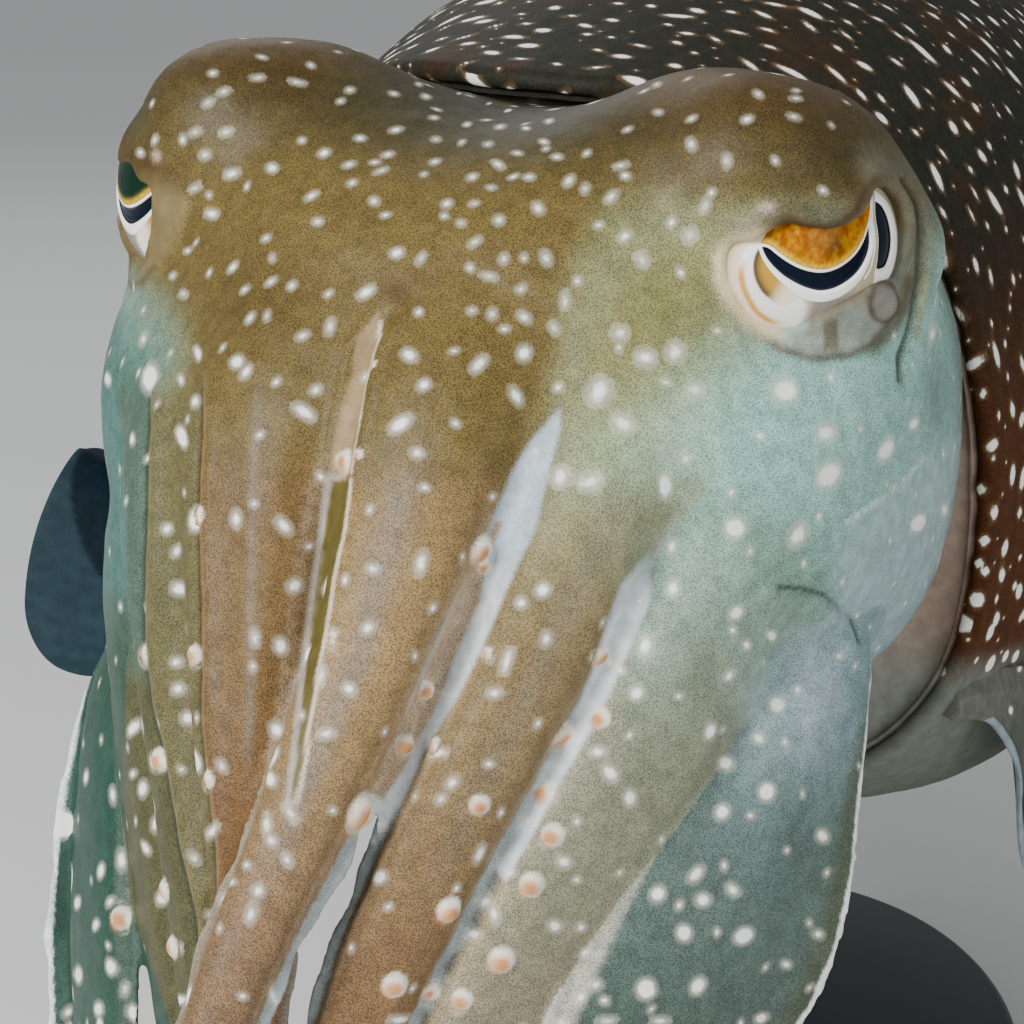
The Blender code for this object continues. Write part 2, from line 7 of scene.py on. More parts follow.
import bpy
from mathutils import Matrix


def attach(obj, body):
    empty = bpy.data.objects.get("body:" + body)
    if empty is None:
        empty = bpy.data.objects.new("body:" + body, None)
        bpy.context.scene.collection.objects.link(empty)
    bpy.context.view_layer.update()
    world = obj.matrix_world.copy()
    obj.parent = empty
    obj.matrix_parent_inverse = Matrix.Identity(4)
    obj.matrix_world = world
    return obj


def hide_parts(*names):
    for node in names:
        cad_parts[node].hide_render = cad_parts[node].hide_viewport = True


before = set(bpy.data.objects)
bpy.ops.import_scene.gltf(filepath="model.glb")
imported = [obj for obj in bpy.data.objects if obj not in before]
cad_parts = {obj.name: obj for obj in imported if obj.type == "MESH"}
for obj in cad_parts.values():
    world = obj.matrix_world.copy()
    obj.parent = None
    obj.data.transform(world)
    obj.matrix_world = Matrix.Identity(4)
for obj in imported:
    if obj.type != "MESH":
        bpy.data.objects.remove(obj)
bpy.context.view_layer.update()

import time
from math import pi, radians, sin, cos, tan
import bpy
import bmesh
import numpy as np
from mathutils import Vector, Matrix
from mathutils.bvhtree import BVHTree
from mathutils.kdtree import KDTree

MM = 0.001
ORIGIN = np.array([0.0, 115.0, -195.0])
T0 = time.time()


def tick(what):
    print(f"[{time.time() - T0:6.1f} s] {what}", flush=True)


# ------------------------------------------------------------------ the photo's camera
class Lens:
    """Where the photograph was taken from, in millimetres about the eyes, and its pixels."""
    az, el, roll, f, dist, mid = radians(21), radians(16), radians(1.5), 2600.0, 347.0, (488.0, 183.0)
    d = np.array([-sin(az) * cos(el), cos(az) * cos(el), -sin(el)])
    _r = np.array([cos(az), sin(az), 0.0])
    _u = np.cross(_r, d)
    r = _r * cos(roll) + _u * sin(roll)
    u = -_r * sin(roll) + _u * cos(roll)
    C = -d * dist - r * ((mid[0] - 512) * dist / f) - u * ((512 - mid[1]) * dist / f)


def pixels(P):
    q = np.asarray(P, float) - Lens.C
    z = q @ Lens.d
    return np.stack([512 + Lens.f * (q @ Lens.r) / z, 512 - Lens.f * (q @ Lens.u) / z], -1)


def pixel_ray(px, py):
    v = Lens.d + Lens.r * ((px - 512) / Lens.f) + Lens.u * ((512 - py) / Lens.f)
    return Lens.C, v / np.linalg.norm(v)


def to_model(P):
    return (np.asarray(P, float) - ORIGIN) * MM


cam_data = bpy.data.cameras.new("photo_camera")
cam_data.lens, cam_data.sensor_width = Lens.f * 36.0 / 1024.0, 36.0
cam_data.clip_start, cam_data.clip_end = 0.01, 50.0
cam = bpy.data.objects.new("photo_camera", cam_data)
bpy.context.scene.collection.objects.link(cam)
cam.matrix_world = Matrix([[*row, c] for row, c in zip(np.stack([Lens.r, Lens.u, -Lens.d], 1), to_model(Lens.C))] + [[0, 0, 0, 1]])
bpy.context.scene.camera = cam


# ------------------------------------------------------------------ small mathematics
def pchip(x, xs, ys):
    xs, ys = np.asarray(xs, float), np.asarray(ys, float)
    if xs[0] > xs[-1]:
        xs, ys = xs[::-1], ys[::-1]
    x = np.clip(np.asarray(x, float), xs[0], xs[-1])
    h, d = np.diff(xs), np.diff(ys) / np.diff(xs)
    m = np.zeros_like(ys)
    for k in range(1, len(xs) - 1):
        if d[k - 1] * d[k] > 0:
            w1, w2 = 2 * h[k] + h[k - 1], h[k] + 2 * h[k - 1]
            m[k] = (w1 + w2) / (w1 / d[k - 1] + w2 / d[k])
    m[0], m[-1] = d[0], d[-1]
    i = np.clip(np.searchsorted(xs, x, side="right") - 1, 0, len(xs) - 2)
    t, hh = (x - xs[i]) / h[i], h[i]
    return ((1 + 2 * t) * (1 - t) ** 2 * ys[i] + t * (1 - t) ** 2 * hh * m[i]
            + t * t * (3 - 2 * t) * ys[i + 1] + t * t * (t - 1) * hh * m[i + 1])


def spline(t, points):
    """Catmull-Rom curve by chord length: points, unit tangents and length."""
    P = np.asarray(points, float)
    L = np.concatenate([[0], np.cumsum(np.linalg.norm(np.diff(P, axis=0), axis=1))])
    u, n = L / L[-1], len(P)
    m = np.zeros_like(P)
    for k in range(n):
        if k in (0, n - 1):
            a, b = (0, 1) if k == 0 else (n - 2, n - 1)
            m[k] = (P[b] - P[a]) / (u[b] - u[a])
        else:
            a = (P[k] - P[k - 1]) / (u[k] - u[k - 1])
            b = (P[k + 1] - P[k]) / (u[k + 1] - u[k])
            m[k] = (a * (u[k + 1] - u[k]) + b * (u[k] - u[k - 1])) / (u[k + 1] - u[k - 1])
    t = np.asarray(t, float)
    i = np.clip(np.searchsorted(u, t, side="right") - 1, 0, n - 2)
    h = (u[i + 1] - u[i])[..., None]
    s = ((t - u[i]) / (u[i + 1] - u[i]))[..., None]
    p = ((1 + 2 * s) * (1 - s) ** 2 * P[i] + s * (1 - s) ** 2 * h * m[i]
         + s * s * (3 - 2 * s) * P[i + 1] + s * s * (s - 1) * h * m[i + 1])
    d = ((6 * s * s - 6 * s) * P[i] / h + (3 * s * s - 4 * s + 1) * m[i]
         + (6 * s - 6 * s * s) * P[i + 1] / h + (3 * s * s - 2 * s) * m[i + 1])
    return p, d / np.linalg.norm(d, axis=-1, keepdims=True), L[-1]


def smooth(a, b, x):
    t = np.clip((np.asarray(x, float) - a) / (b - a), 0, 1)
    return t * t * (3 - 2 * t)


def power(c, n):
    return np.sign(c) * np.abs(c) ** (2.0 / n)


def hash01(*k):
    """Repeatable pseudo-random numbers in 0..1 from numbers."""
    v = np.zeros_like(np.asarray(k[0], float))
    for i, q in enumerate(k):
        v = v + np.asarray(q, float) * (12.9898 + 65.233 * i)
    v = np.sin(v) * 43758.5453
    return v - np.floor(v)


def wobble(P, scale, seed=0.0):
    """Smooth noise about -1..1 from a few turned waves; P in millimetres."""
    rng = np.random.default_rng(int(seed * 97) + 5)
    out = np.zeros(len(P))
    for k in range(7):
        v = rng.normal(size=3)
        v *= (0.7 + 0.75 * rng.random()) / np.linalg.norm(v) * (2 * pi / scale)
        out += np.sin(P @ v + rng.random() * 6.28 + 1.3 * np.sin(P @ np.roll(v, 1) * 0.61 + rng.random() * 6.28))
    return out / 3.2


# ------------------------------------------------------------------ meshes
def new_object(name, verts_mm, faces, link=True):
    """A mesh object from millimetre points about the eyes. faces is an int array (n, 3 or 4)."""
    me = bpy.data.meshes.new(name)
    V = to_model(verts_mm).astype(np.float32)
    F = np.asarray(faces, np.int32)
    me.vertices.add(len(V))
    me.vertices.foreach_set("co", V.ravel())
    me.loops.add(F.size)
    me.loops.foreach_set("vertex_index", F.ravel())
    me.polygons.add(len(F))
    me.polygons.foreach_set("loop_start", np.arange(0, F.size, F.shape[1], dtype=np.int32))
    me.polygons.foreach_set("loop_total", np.full(len(F), F.shape[1], np.int32))
    me.update(calc_edges=True)
    me.validate()
    me.shade_smooth()
    ob = bpy.data.objects.new(name, me)
    if link:
        bpy.context.scene.collection.objects.link(ob)
    return ob


def get_points(me):
    P = np.empty(len(me.vertices) * 3, np.float32)
    me.vertices.foreach_get("co", P)
    return P.reshape(-1, 3).astype(float) / MM + ORIGIN


def set_points(me, P):
    me.vertices.foreach_set("co", to_model(P).astype(np.float32).ravel())
    me.update()


def get_edges(me):
    E = np.empty(len(me.edges) * 2, np.int32)
    me.edges.foreach_get("vertices", E)
    return E.reshape(-1, 2)


def get_normals(me):
    N = np.empty(len(me.vertices) * 3, np.float32)
    me.vertex_normals.foreach_get("vector", N)
    return N.reshape(-1, 3).astype(float)


def put(me, name, values, kind="FLOAT", domain="POINT"):
    a = me.attributes.new(name, kind, domain)
    values = np.asarray(values, np.float32)
    if kind == "FLOAT":
        a.data.foreach_set("value", values.ravel())
    else:
        if values.shape[1] == 3:
            values = np.concatenate([values, np.ones((len(values), 1), np.float32)], 1)
        a.data.foreach_set("color", values.ravel())


def grid_faces(nr, nc, closed=True):
    i, j = np.meshgrid(np.arange(nr - 1), np.arange(nc if closed else nc - 1), indexing="ij")
    k = (j + 1) % nc
    return np.stack([i * nc + j, i * nc + k, (i + 1) * nc + k, (i + 1) * nc + j], -1).reshape(-1, 4)


def tube(rings):
    """Closed tube as quads: each end is a fan of thin quads onto a doubled centre ring shrunk to a point."""
    nr, nc = rings.shape[:2]
    parts, n = [rings], 0
    a, b = rings[0].mean(0), rings[-1].mean(0)
    # ends closed by shrinking rings, which keeps every face a quad
    ends0 = np.stack([a + (rings[0] - a) * k for k in (0.02, 0.35, 0.7)])
    ends1 = np.stack([b + (rings[-1] - b) * k for k in (0.7, 0.35, 0.02)])
    R = np.concatenate([ends0, rings, ends1])
    V, F = R.reshape(-1, 3), grid_faces(len(R), nc)
    m = len(V)
    V = np.concatenate([V, [a], [b]])
    last = (len(R) - 1) * nc
    T = []
    for j in range(0, nc - 1, 2):
        T.append((m, (j + 2) % nc, j + 1, j))
        T.append((m + 1, last + j, last + j + 1, last + (j + 2) % nc))
    return V, np.concatenate([F, np.array(T, np.int64)])


def outward(ob):
    bm = bmesh.new()
    bm.from_mesh(ob.data)
    bmesh.ops.recalc_face_normals(bm, faces=bm.faces)
    bm.to_mesh(ob.data)
    bm.free()
    return ob


def joined(name, obs):
    """One object from several, by numbers."""
    Vs, Fs, n = [], [], 0
    for ob in obs:
        me = ob.data
        P = get_points(me)
        me.calc_loop_triangles()
        t = np.empty(len(me.loop_triangles) * 3, np.int32)
        me.loop_triangles.foreach_get("vertices", t)
        Vs.append(P)
        Fs.append(t.reshape(-1, 3) + n)
        n += len(P)
    out = new_object(name, np.concatenate(Vs), np.concatenate(Fs))
    for ob in obs:
        old = ob.data
        bpy.data.objects.remove(ob)
        bpy.data.meshes.remove(old)
    return out


def applied(ob):
    dg = bpy.context.evaluated_depsgraph_get()
    me = bpy.data.meshes.new_from_object(ob.evaluated_get(dg))
    old = ob.data
    ob.modifiers.clear()
    ob.data = me
    bpy.data.meshes.remove(old)
    return ob


def remeshed(ob, voxel_mm):
    m = ob.modifiers.new("voxels", "REMESH")
    m.mode, m.voxel_size, m.adaptivity, m.use_smooth_shade = "VOXEL", voxel_mm * MM, 0.0, True
    return applied(ob)


def cut(ob, other, operation="DIFFERENCE", solver="EXACT"):
    m = ob.modifiers.new("cut", "BOOLEAN")
    m.operation, m.object, m.solver = operation, other, solver
    bpy.context.view_layer.update()
    return applied(ob)


def relax(P, E, weight, times, keep=0.0):
    """Laplacian smoothing by numbers, with a weight for each point."""
    n = len(P)
    deg = np.bincount(E[:, 0], minlength=n) + np.bincount(E[:, 1], minlength=n)
    deg = np.maximum(deg, 1)
    P = P.copy()
    for k in range(times):
        w = weight if (keep == 0 or k % 2 == 0) else -weight * keep
        S = np.stack([np.bincount(E[:, 0], P[E[:, 1], a], n) + np.bincount(E[:, 1], P[E[:, 0], a], n) for a in range(3)], 1)
        P += (S / deg[:, None] - P) * (w[:, None] if isinstance(w, np.ndarray) else w)
    return P


# ------------------------------------------------------------------ body shapes, as in the solids
TAIL_Y = 322.0
M_Y = [20, 45, 80, 120, 165, 210, 255, 290, 312, 322]
M_A = [58, 62, 70, 75, 76, 71, 58, 40, 20, 2]
M_T = [12, 18.5, 26, 29, 26, 16, -2, -22, -38, -48]
M_B = [-97, -103, -113, -116, -111, -102, -88, -73, -59, -51]
M_LOW = ([20, 60, 85, 150, 300], [2.3, 2.8, 3.3, 2.8, 2.2])
M_W = [-54, -56, -59, -61, -62, -61, -57, -53, -50, -49]
LIP_LATERAL, LIP_DORSAL, LIP_VENTRAL = 46.0, 25.0, 3.0
WALL, POCKET_Y = 3.0, 58.0

H_Y = [57.7, 44, 28, 10, -4, -16, -26, -32, -37]
H_A = [52, 57, 60, 58.5, 56, 50.5, 41, 29, 12]
H_T = [1, 4, 7, 8, 7, 3.5, -3, -11, -20]
H_B = [-77, -80, -81, -79, -74, -67, -57, -48, -37]
H_N = [2.4, 2.6, 2.8, 2.9, 2.8, 2.7, 2.5, 2.3, 2.1]
BROW_X, BROW_Y, BROW_SX, BROW_SY, BROW_H = 35.0, 3.0, 19.0, 21.0, 15.5
FACE_NARROW = 0.22
EYE, EYE_R = np.array([39.2, 2.0, -4.5]), 16.0
EYE_SKIN, EYE_SWELL, EYE_BACK = 1.8, 1.14, 4.5
LIDS = {1: [(-3.0, -2.8, 7.0, 15.2)], -1: [(-3.0, -2.8, 7.2, 15.0), (-2.5, -2.5, -3.5, 15.6)]}

ARMS = {
    "left_1": dict(
        line=[(9, -17, -12), (8.5, -34, -24), (5.8, -46, -47), (1.4, -58, -68), (-3.4, -71, -90), (-8, -83, -118), (-9, -91, -146)],
        w=[(0, 24), (.13, 22.5), (.3, 14.2), (.48, 10.5), (.66, 7.5), (1, 2)],
        h=[(0, 20), (.15, 17), (.35, 13), (.55, 9), (.75, 6), (1, 2)], face=10),
    "right_1": dict(
        line=[(12.5, -17, -12), (14.5, -33, -24), (12.2, -44.5, -47), (9.0, -53, -68), (5.2, -59, -90), (4.8, -64, -118), (5.4, -67.5, -144)],
        w=[(0, 24), (.13, 22.5), (.32, 16.5), (.5, 10.5), (.66, 7.5), (1, 2)],
        h=[(0, 20), (.15, 17), (.35, 13), (.55, 9), (.75, 6), (1, 2)], face=10),
    "left_2": dict(
        line=[(24, -13, -20), (27, -29, -31), (21, -39.5, -55), (13, -49, -78), (6, -58, -104), (3.5, -63, -130), (4, -65, -148)],
        w=[(0, 19), (.15, 17), (.35, 13), (.55, 11.5), (.75, 8), (1, 2)],
        h=[(0, 18), (.15, 16), (.35, 12), (.55, 9), (.75, 6), (1, 2)], face=36),
    "right_2": dict(
        line=[(25, -13, -20), (29, -29, -31), (24.4, -39.8, -55), (17.8, -48.4, -78), (11.5, -57, -104), (9, -62, -130), (9, -64, -148)],
        w=[(0, 19), (.15, 17.5), (.35, 14), (.55, 11.5), (.75, 8), (1, 2)],
        h=[(0, 18), (.15, 16), (.35, 12), (.55, 9), (.75, 6), (1, 2)], face=36),
    "left_3": dict(
        line=[(34, -7, -33), (38.5, -19, -45), (33, -30, -66), (24, -40, -88), (14, -50, -114), (9, -57, -152)],
        w=[(0, 22), (.15, 22), (.35, 20), (.55, 17), (.75, 11), (1, 2)],
        h=[(0, 18), (.15, 15), (.35, 12), (.55, 9), (.75, 6), (1, 2)], face=60),
    "right_3": dict(
        line=[(34, -7, -33), (38.5, -19, -45), (34, -30, -66), (27, -40, -88), (19, -50, -114), (15, -57, -150)],
        w=[(0, 22), (.15, 22), (.35, 20), (.55, 17), (.75, 11), (1, 2)],
        h=[(0, 18), (.15, 15), (.35, 12), (.55, 9), (.75, 6), (1, 2)], face=60),
    "left_4": dict(
        line=[(41, 8, -50), (47.5, -4, -59), (47, -17, -77), (43.5, -26, -95), (38, -35, -118), (29, -45, -146), (21, -52, -172)],
        w=[(0, 20), (.12, 26), (.3, 32), (.5, 37), (.7, 31), (.88, 15), (1, 3)],
        h=[(0, 16), (.12, 12), (.3, 9), (.5, 7), (.75, 5), (1, 2)], face=52),
}
ARMS["right_4"] = dict(
    ARMS["left_4"],
    line=[(41, 8, -50), (47.5, -4, -59), (48, -17, -77), (46, -26, -95), (41.5, -35, -118), (33, -45, -146), (24, -52, -172)])
ARM_KEYS = list(ARMS)
WEBS = [("left_1", "right_1")] + [(f"{s}_{k}", f"{s}_{k + 1}") for s in ("left", "right") for k in (1, 2, 3)]
WEB_FROM, WEB_TO, WEB_THICK = 0.10, 0.38, 1.7

FIN_FROM, FIN_TO, FIN_THICK, FIN_EDGE = 47.0, 318.0, 3.2, 1.0
FIN_WIDTH = {
    1: ([47, 56, 62, 69, 80, 100, 150, 200, 260, 290, 304, 312, 318], [2, 4, 13, 29, 37, 38, 38, 38, 36, 31, 23, 13, 3]),
    -1: ([47, 49, 54, 62, 74, 88, 110, 150, 200, 260, 290, 304, 312, 318], [3, 18, 34, 43, 44, 40, 37, 38, 38, 36, 31, 23, 13, 3]),
}
FIN_DROOP = {
    1: ([47, 60, 70, 82, 108, 145, 180, 215, 250, 290, 320], [50, 66, 84, 80, 42, 8, 12, 32, 18, 8, 14]),
    -1: ([47, 52, 62, 76, 95, 125, 150, 180, 210, 245, 290, 320], [34, 26, 0, -32, -20, 22, 34, 12, 4, 26, 20, 14]),
}
FIN_SWEEP = {1: -12.0, -1: -26.0}
FUNNEL = [(64, -88, 11), (44, -88, 11), (24, -90, 10.5), (6, -91.5, 9.5), (-8, -92, 8)]
BASE_A, BASE_B, BASE_H, ROD_R = 62.0, 92.0, 10.0, 4.5
ROD_Y = {"front": 66.0, "rear": 172.0}


def mantle_surface(y, th, inset=0.0):
    a = pchip(y, M_Y, M_A) - inset
    zw = pchip(y, M_Y, M_W)
    up, down = pchip(y, M_Y, M_T) - inset - zw, pchip(y, M_Y, M_B) + inset - zw
    c, s = np.cos(th), np.sin(th)
    n = np.where(s >= 0, pchip(y, [20, 120, 300], [2.42, 2.3, 2.1]), pchip(y, *M_LOW))
    z = zw + np.where(s >= 0, up, down) * np.abs(s) ** (2 / n)
    return np.stack([a * np.sign(c) * np.abs(c) ** (2 / n), y + 0 * c, z], -1)


def lip_y(th):
    s = np.sin(th)
    return LIP_LATERAL - LIP_DORSAL * np.clip(s, 0, 1) ** 8 - LIP_VENTRAL * np.clip(-s, 0, 1) ** 2


def head_surface(y, th):
    a, zt, zb, n = (pchip(y, H_Y, k) for k in (H_A, H_T, H_B, H_N))
    zc, hz = (zt + zb) / 2, (zt - zb) / 2
    x = a * power(np.cos(th), n)
    z = zc + hz * power(np.sin(th), n)
    ahead, level = np.clip((6 - y) / 26, 0, 1), np.clip((z + 29) / 21, 0, 1)
    x = x * (1 - FACE_NARROW * ahead ** 2 * (3 - 2 * ahead) * level ** 2 * (3 - 2 * level))
    d2 = ((np.abs(x) - BROW_X) / BROW_SX) ** 2 + ((y - BROW_Y) / BROW_SY) ** 2
    z = z + BROW_H * np.exp(-d2) * np.clip((z + 20) / 30, 0, 1)
    return np.stack([x, y + 0 * x, z], -1)


def arm_section(sides):
    th = np.linspace(0, 2 * pi, sides, endpoint=False)
    c, s = np.cos(th), np.sin(th)
    n = np.where(s >= 0, 2.2, 3.0)
    return np.sign(c) * np.abs(c) ** (2 / n), np.where(s >= 0, 1.0, 0.75) * np.sign(s) * np.abs(s) ** (2 / n)


def arm_frame(key, t):
    """Centre line, tangents, outward and sideways directions, half widths and half thicknesses, in place."""
    arm = ARMS[key]
    P, T, length = spline(t, arm["line"])
    w, h = pchip(t, *zip(*arm["w"])) / 2, pchip(t, *zip(*arm["h"])) / 2
    f = radians(arm["face"])
    out = np.array([np.sin(f), -np.cos(f), 0.25])
    N = out - T * (T @ out)[:, None]
    N /= np.linalg.norm(N, axis=1, keepdims=True)
    B = np.cross(N, T)
    B *= np.sign(B @ np.array([np.cos(f), np.sin(f), 0]))[:, None]
    flip = np.array([1 if key.startswith("left") else -1, 1, 1])
    return P * flip, T * flip, N * flip, B * flip, w, h, length


# ------------------------------------------------------------------ outlines round the eye, in degrees seen from its centre
# direction round from straight ahead, and elevation
LID_OUTLINE = [
    (-2.5, 8.6), (2, 9.4), (6, 9.7), (8.5, 11), (11.5, 13.8), (14.5, 16), (19, 17.6), (23.5, 17.8), (29, 16.7), (35.6, 15.8), (42, 15.5), (49, 17), (57, 20.5), (64, 26),
    (70, 30.5), (77, 32.5), (85, 31), (91, 26), (95.5, 17), (97.5, 7), (96.5, -3), (92, -11), (84, -13.5), (75, -13), (66, -14.5),
    (57, -18.5), (48, -22.5), (40, -26.5), (33, -31), (25, -34.5), (15, -33.5), (6, -28), (-1, -19), (-5.4, -9), (-6.2, -1), (-5.4, 5.5)]


def closed_curve(points, n):
    P = np.asarray(points, float)
    k = 3
    Q = np.concatenate([P[-k:], P, P[:k + 1]])
    L = np.concatenate([[0], np.cumsum(np.linalg.norm(np.diff(Q, axis=0), axis=1))])
    t = np.linspace(L[k], L[k + len(P)], n, endpoint=False) / L[-1]
    Q3 = np.concatenate([Q, np.zeros((len(Q), 1))], 1)
    return spline(t, Q3)[0][:, :2]


def eye_direction(turn, tilt):
    a, e = np.radians(turn), np.radians(tilt)
    return np.stack([np.sin(a) * np.cos(e), -np.cos(a) * np.cos(e), np.sin(e)], -1)


def lid_outline(side, n=96):
    C = closed_curve(LID_OUTLINE, n)
    if side < 0:  # the right eye's lids cover more of its front
        C[:, 0] = 97 - (97 - C[:, 0]) * 0.80
    return C


def socket_cutter(side):
    """Everything seen from the eye's centre through the lids, from just under the eyeball's surface outwards."""
    C = lid_outline(side)
    D = eye_direction(C[:, 0], C[:, 1])
    m = D.mean(0)
    m /= np.linalg.norm(m)
    rings = []
    for r, k in ((14.6, 0.05), (14.6, 0.5), (14.6, 0.999), (17.0, 1.0), (21.0, 1.03), (27.0, 1.06)):
        E = m * (1 - k) + D * k
        rings.append(E / np.linalg.norm(E, axis=1, keepdims=True) * r)
    return outward(new_object("cone", *tube(np.array(rings) * [side, 1, 1] + EYE * [side, 1, 1])))


def thicken_lids(P, side):
    """Keep the skin a little way above the eyeball, thickest under the brow."""
    d = P - EYE * [side, 1, 1]
    r = np.linalg.norm(d, axis=1)
    n = np.nonzero(r < EYE_R + 6)[0]
    D = d[n] / np.maximum(r[n], 1e-6)[:, None]
    upper = smooth(-0.05, 0.35, D[:, 2])
    back = smooth(0.2, -0.35, D[:, 1])  # 1 ahead, 0 behind
    least = EYE_R + (0.75 + 1.0 * upper + 0.35 * (1 - back) if side > 0 else 0.55 + 0.2 * upper)
    grow = np.clip(least - r[n], 0, None)
    ok = D @ (eye_direction(55, 0) * [side, 1, 1]) > 0.05
    P[n] += D * (grow * ok)[:, None]
    return P


def ellipsoid(name, centre, radii, n=64):
    th, ph = np.linspace(0, 2 * pi, 2 * n, endpoint=False), np.linspace(0.02, pi - 0.02, n)
    R = np.stack([np.outer(np.sin(ph), np.cos(th)), np.outer(np.sin(ph), np.sin(th)), np.outer(np.cos(ph), np.ones_like(th))], -1)
    return outward(new_object(name, *tube(R * np.asarray(radii) + np.asarray(centre))))


# ------------------------------------------------------------------ head and arms, one surface
def arm_rings(key, n=150, sides=72):
    P, T, N, B, w, h, L = arm_frame(key, np.linspace(0, 1, n))
    th = np.linspace(0, 2 * pi, sides, endpoint=False)
    c, s = np.cos(th), np.sin(th)
    e = np.where(s >= 0, 2.75, 3.0)
    x = np.sign(c) * np.abs(c) ** (2 / e)
    y = np.where(s >= 0, 1.0, 0.75) * np.sign(s) * np.abs(s) ** (2 / e)
    t = np.linspace(0, 1, n)
    if key.endswith("4"):  # the ventral arms thin out to a swimming keel
        keel = 1 - 0.74 * smooth(-0.15, 1.0, x)[None] * smooth(0.06, 0.24, t)[:, None]
        yy = y[None] * keel
        wide = 1 + 0.0 * t
    else:
        yy = np.repeat(y[None], n, 0)
        wide = 1 + 0.05 * smooth(0.1, 0.3, t)
    return P[:, None] + B[:, None] * ((w * wide)[:, None] * x)[..., None] + N[:, None] * (h[:, None] * yy)[..., None]


def flange(key, toward):
    """Thin protective membrane along one edge of an arm."""
    t = np.linspace(0.16, 0.97, 150)
    P, T, N, B, w, h, L = arm_frame(key, t)
    reach = 1.5 * smooth(0.16, 0.34, t) * np.sqrt(np.clip((1 - t) / 0.5, 0, 1)) + 0.15
    reach = reach * (1 + 0.22 * np.sin(t * L / 3.1 + 2 * toward) + 0.12 * np.sin(t * L / 1.3))
    up, low = [], []
    for q in np.linspace(0, 1, 7):
        u = (0.80 * w) * (1 - q) + (w + reach) * q
        m = P + B * (toward * u)[:, None] - N * (h * (0.18 + 0.10 * q))[:, None]
        k = 0.5 * (1.5 - 0.55 * q)
        up.append(m + N * k)
        low.append(m - N * k)
    return outward(new_object("f", *tube(np.stack(up + low[::-1], axis=1))))


def keel_line(key, t):
    """Foot, direction and reach of the keel along the far arm, which stands out at its side."""
    P, T, N, B, w, h, L = arm_frame(key, t)
    D = -Lens.r - T * (T @ -Lens.r)[:, None]
    D /= np.linalg.norm(D, axis=1, keepdims=True)
    u = pchip(t, [.12, .40, .50, .96], [.20, .25, .80, .85])
    v = pchip(t, [.12, .40, .50, .96], [.84, .78, .30, .20])
    reach = pchip(t, [.12, .20, .25, .30, .35, .40, .45, .55, .80, .96], [.2, .3, .8, 1.6, 2.4, 2.9, 3.1, 3.3, 2.2, .2])
    return P + B * (u * w)[:, None] + N * (v * h)[:, None], D, reach, T, L


def keel(key):
    t = np.linspace(0.12, 0.96, 150)
    foot, D, reach, T, L = keel_line(key, t)
    reach = reach * (1 + 0.07 * np.sin(t * L / 2.6) + 0.04 * np.sin(t * L / 1.1))
    S = np.cross(T, D)
    up, low = [], []
    for q in np.linspace(0, 1, 8):
        m = foot + D * (-1.4 + (reach + 1.4) * q)[:, None]
        k = 0.5 * (1.7 - 0.7 * q)
        up.append(m + S * k)
        low.append(m - S * k)
    return outward(new_object("k", *tube(np.stack(up + low[::-1], axis=1))))


def pair_edges(one, two, t, inset):
    out = []
    for key, toward in ((one, -1 if two == "right_1" else 1), (two, -1)):
        P, T, N, B, w, h, _ = arm_frame(key, t)
        out.append((P + B * (toward * inset * w)[:, None], N, h))
    return out


def filler(one, two):
    """Flesh between neighbouring arms near their roots, so that they part slowly from the face."""
    t = np.linspace(0.0, 0.36, 28)
    (a, na, ha), (b, nb, hb) = pair_edges(one, two, t, 0.42)
    if two == "right_1":
        g = pchip(t, [0, .08, .16, .26, .36], [.90, .78, .58, .25, -.05])
    else:
        g = pchip(t, [0, .07, .14, .24, .36], [.90, .72, .38, -.10, -.35])
    up, low = [], []
    for q in np.linspace(0, 1, 13):
        dip = 1 - 0.18 * 4 * q * (1 - q)
        pa, pb = a + na * (ha * g * dip)[:, None], b + nb * (hb * g * dip)[:, None]
        up.append(pa * (1 - q) + pb * q)
        pa, pb = a - na * (ha * 0.62)[:, None], b - nb * (hb * 0.62)[:, None]
        low.append(pa * (1 - q) + pb * q)
    return outward(new_object("f", *tube(np.stack(up + low[::-1], axis=1))))


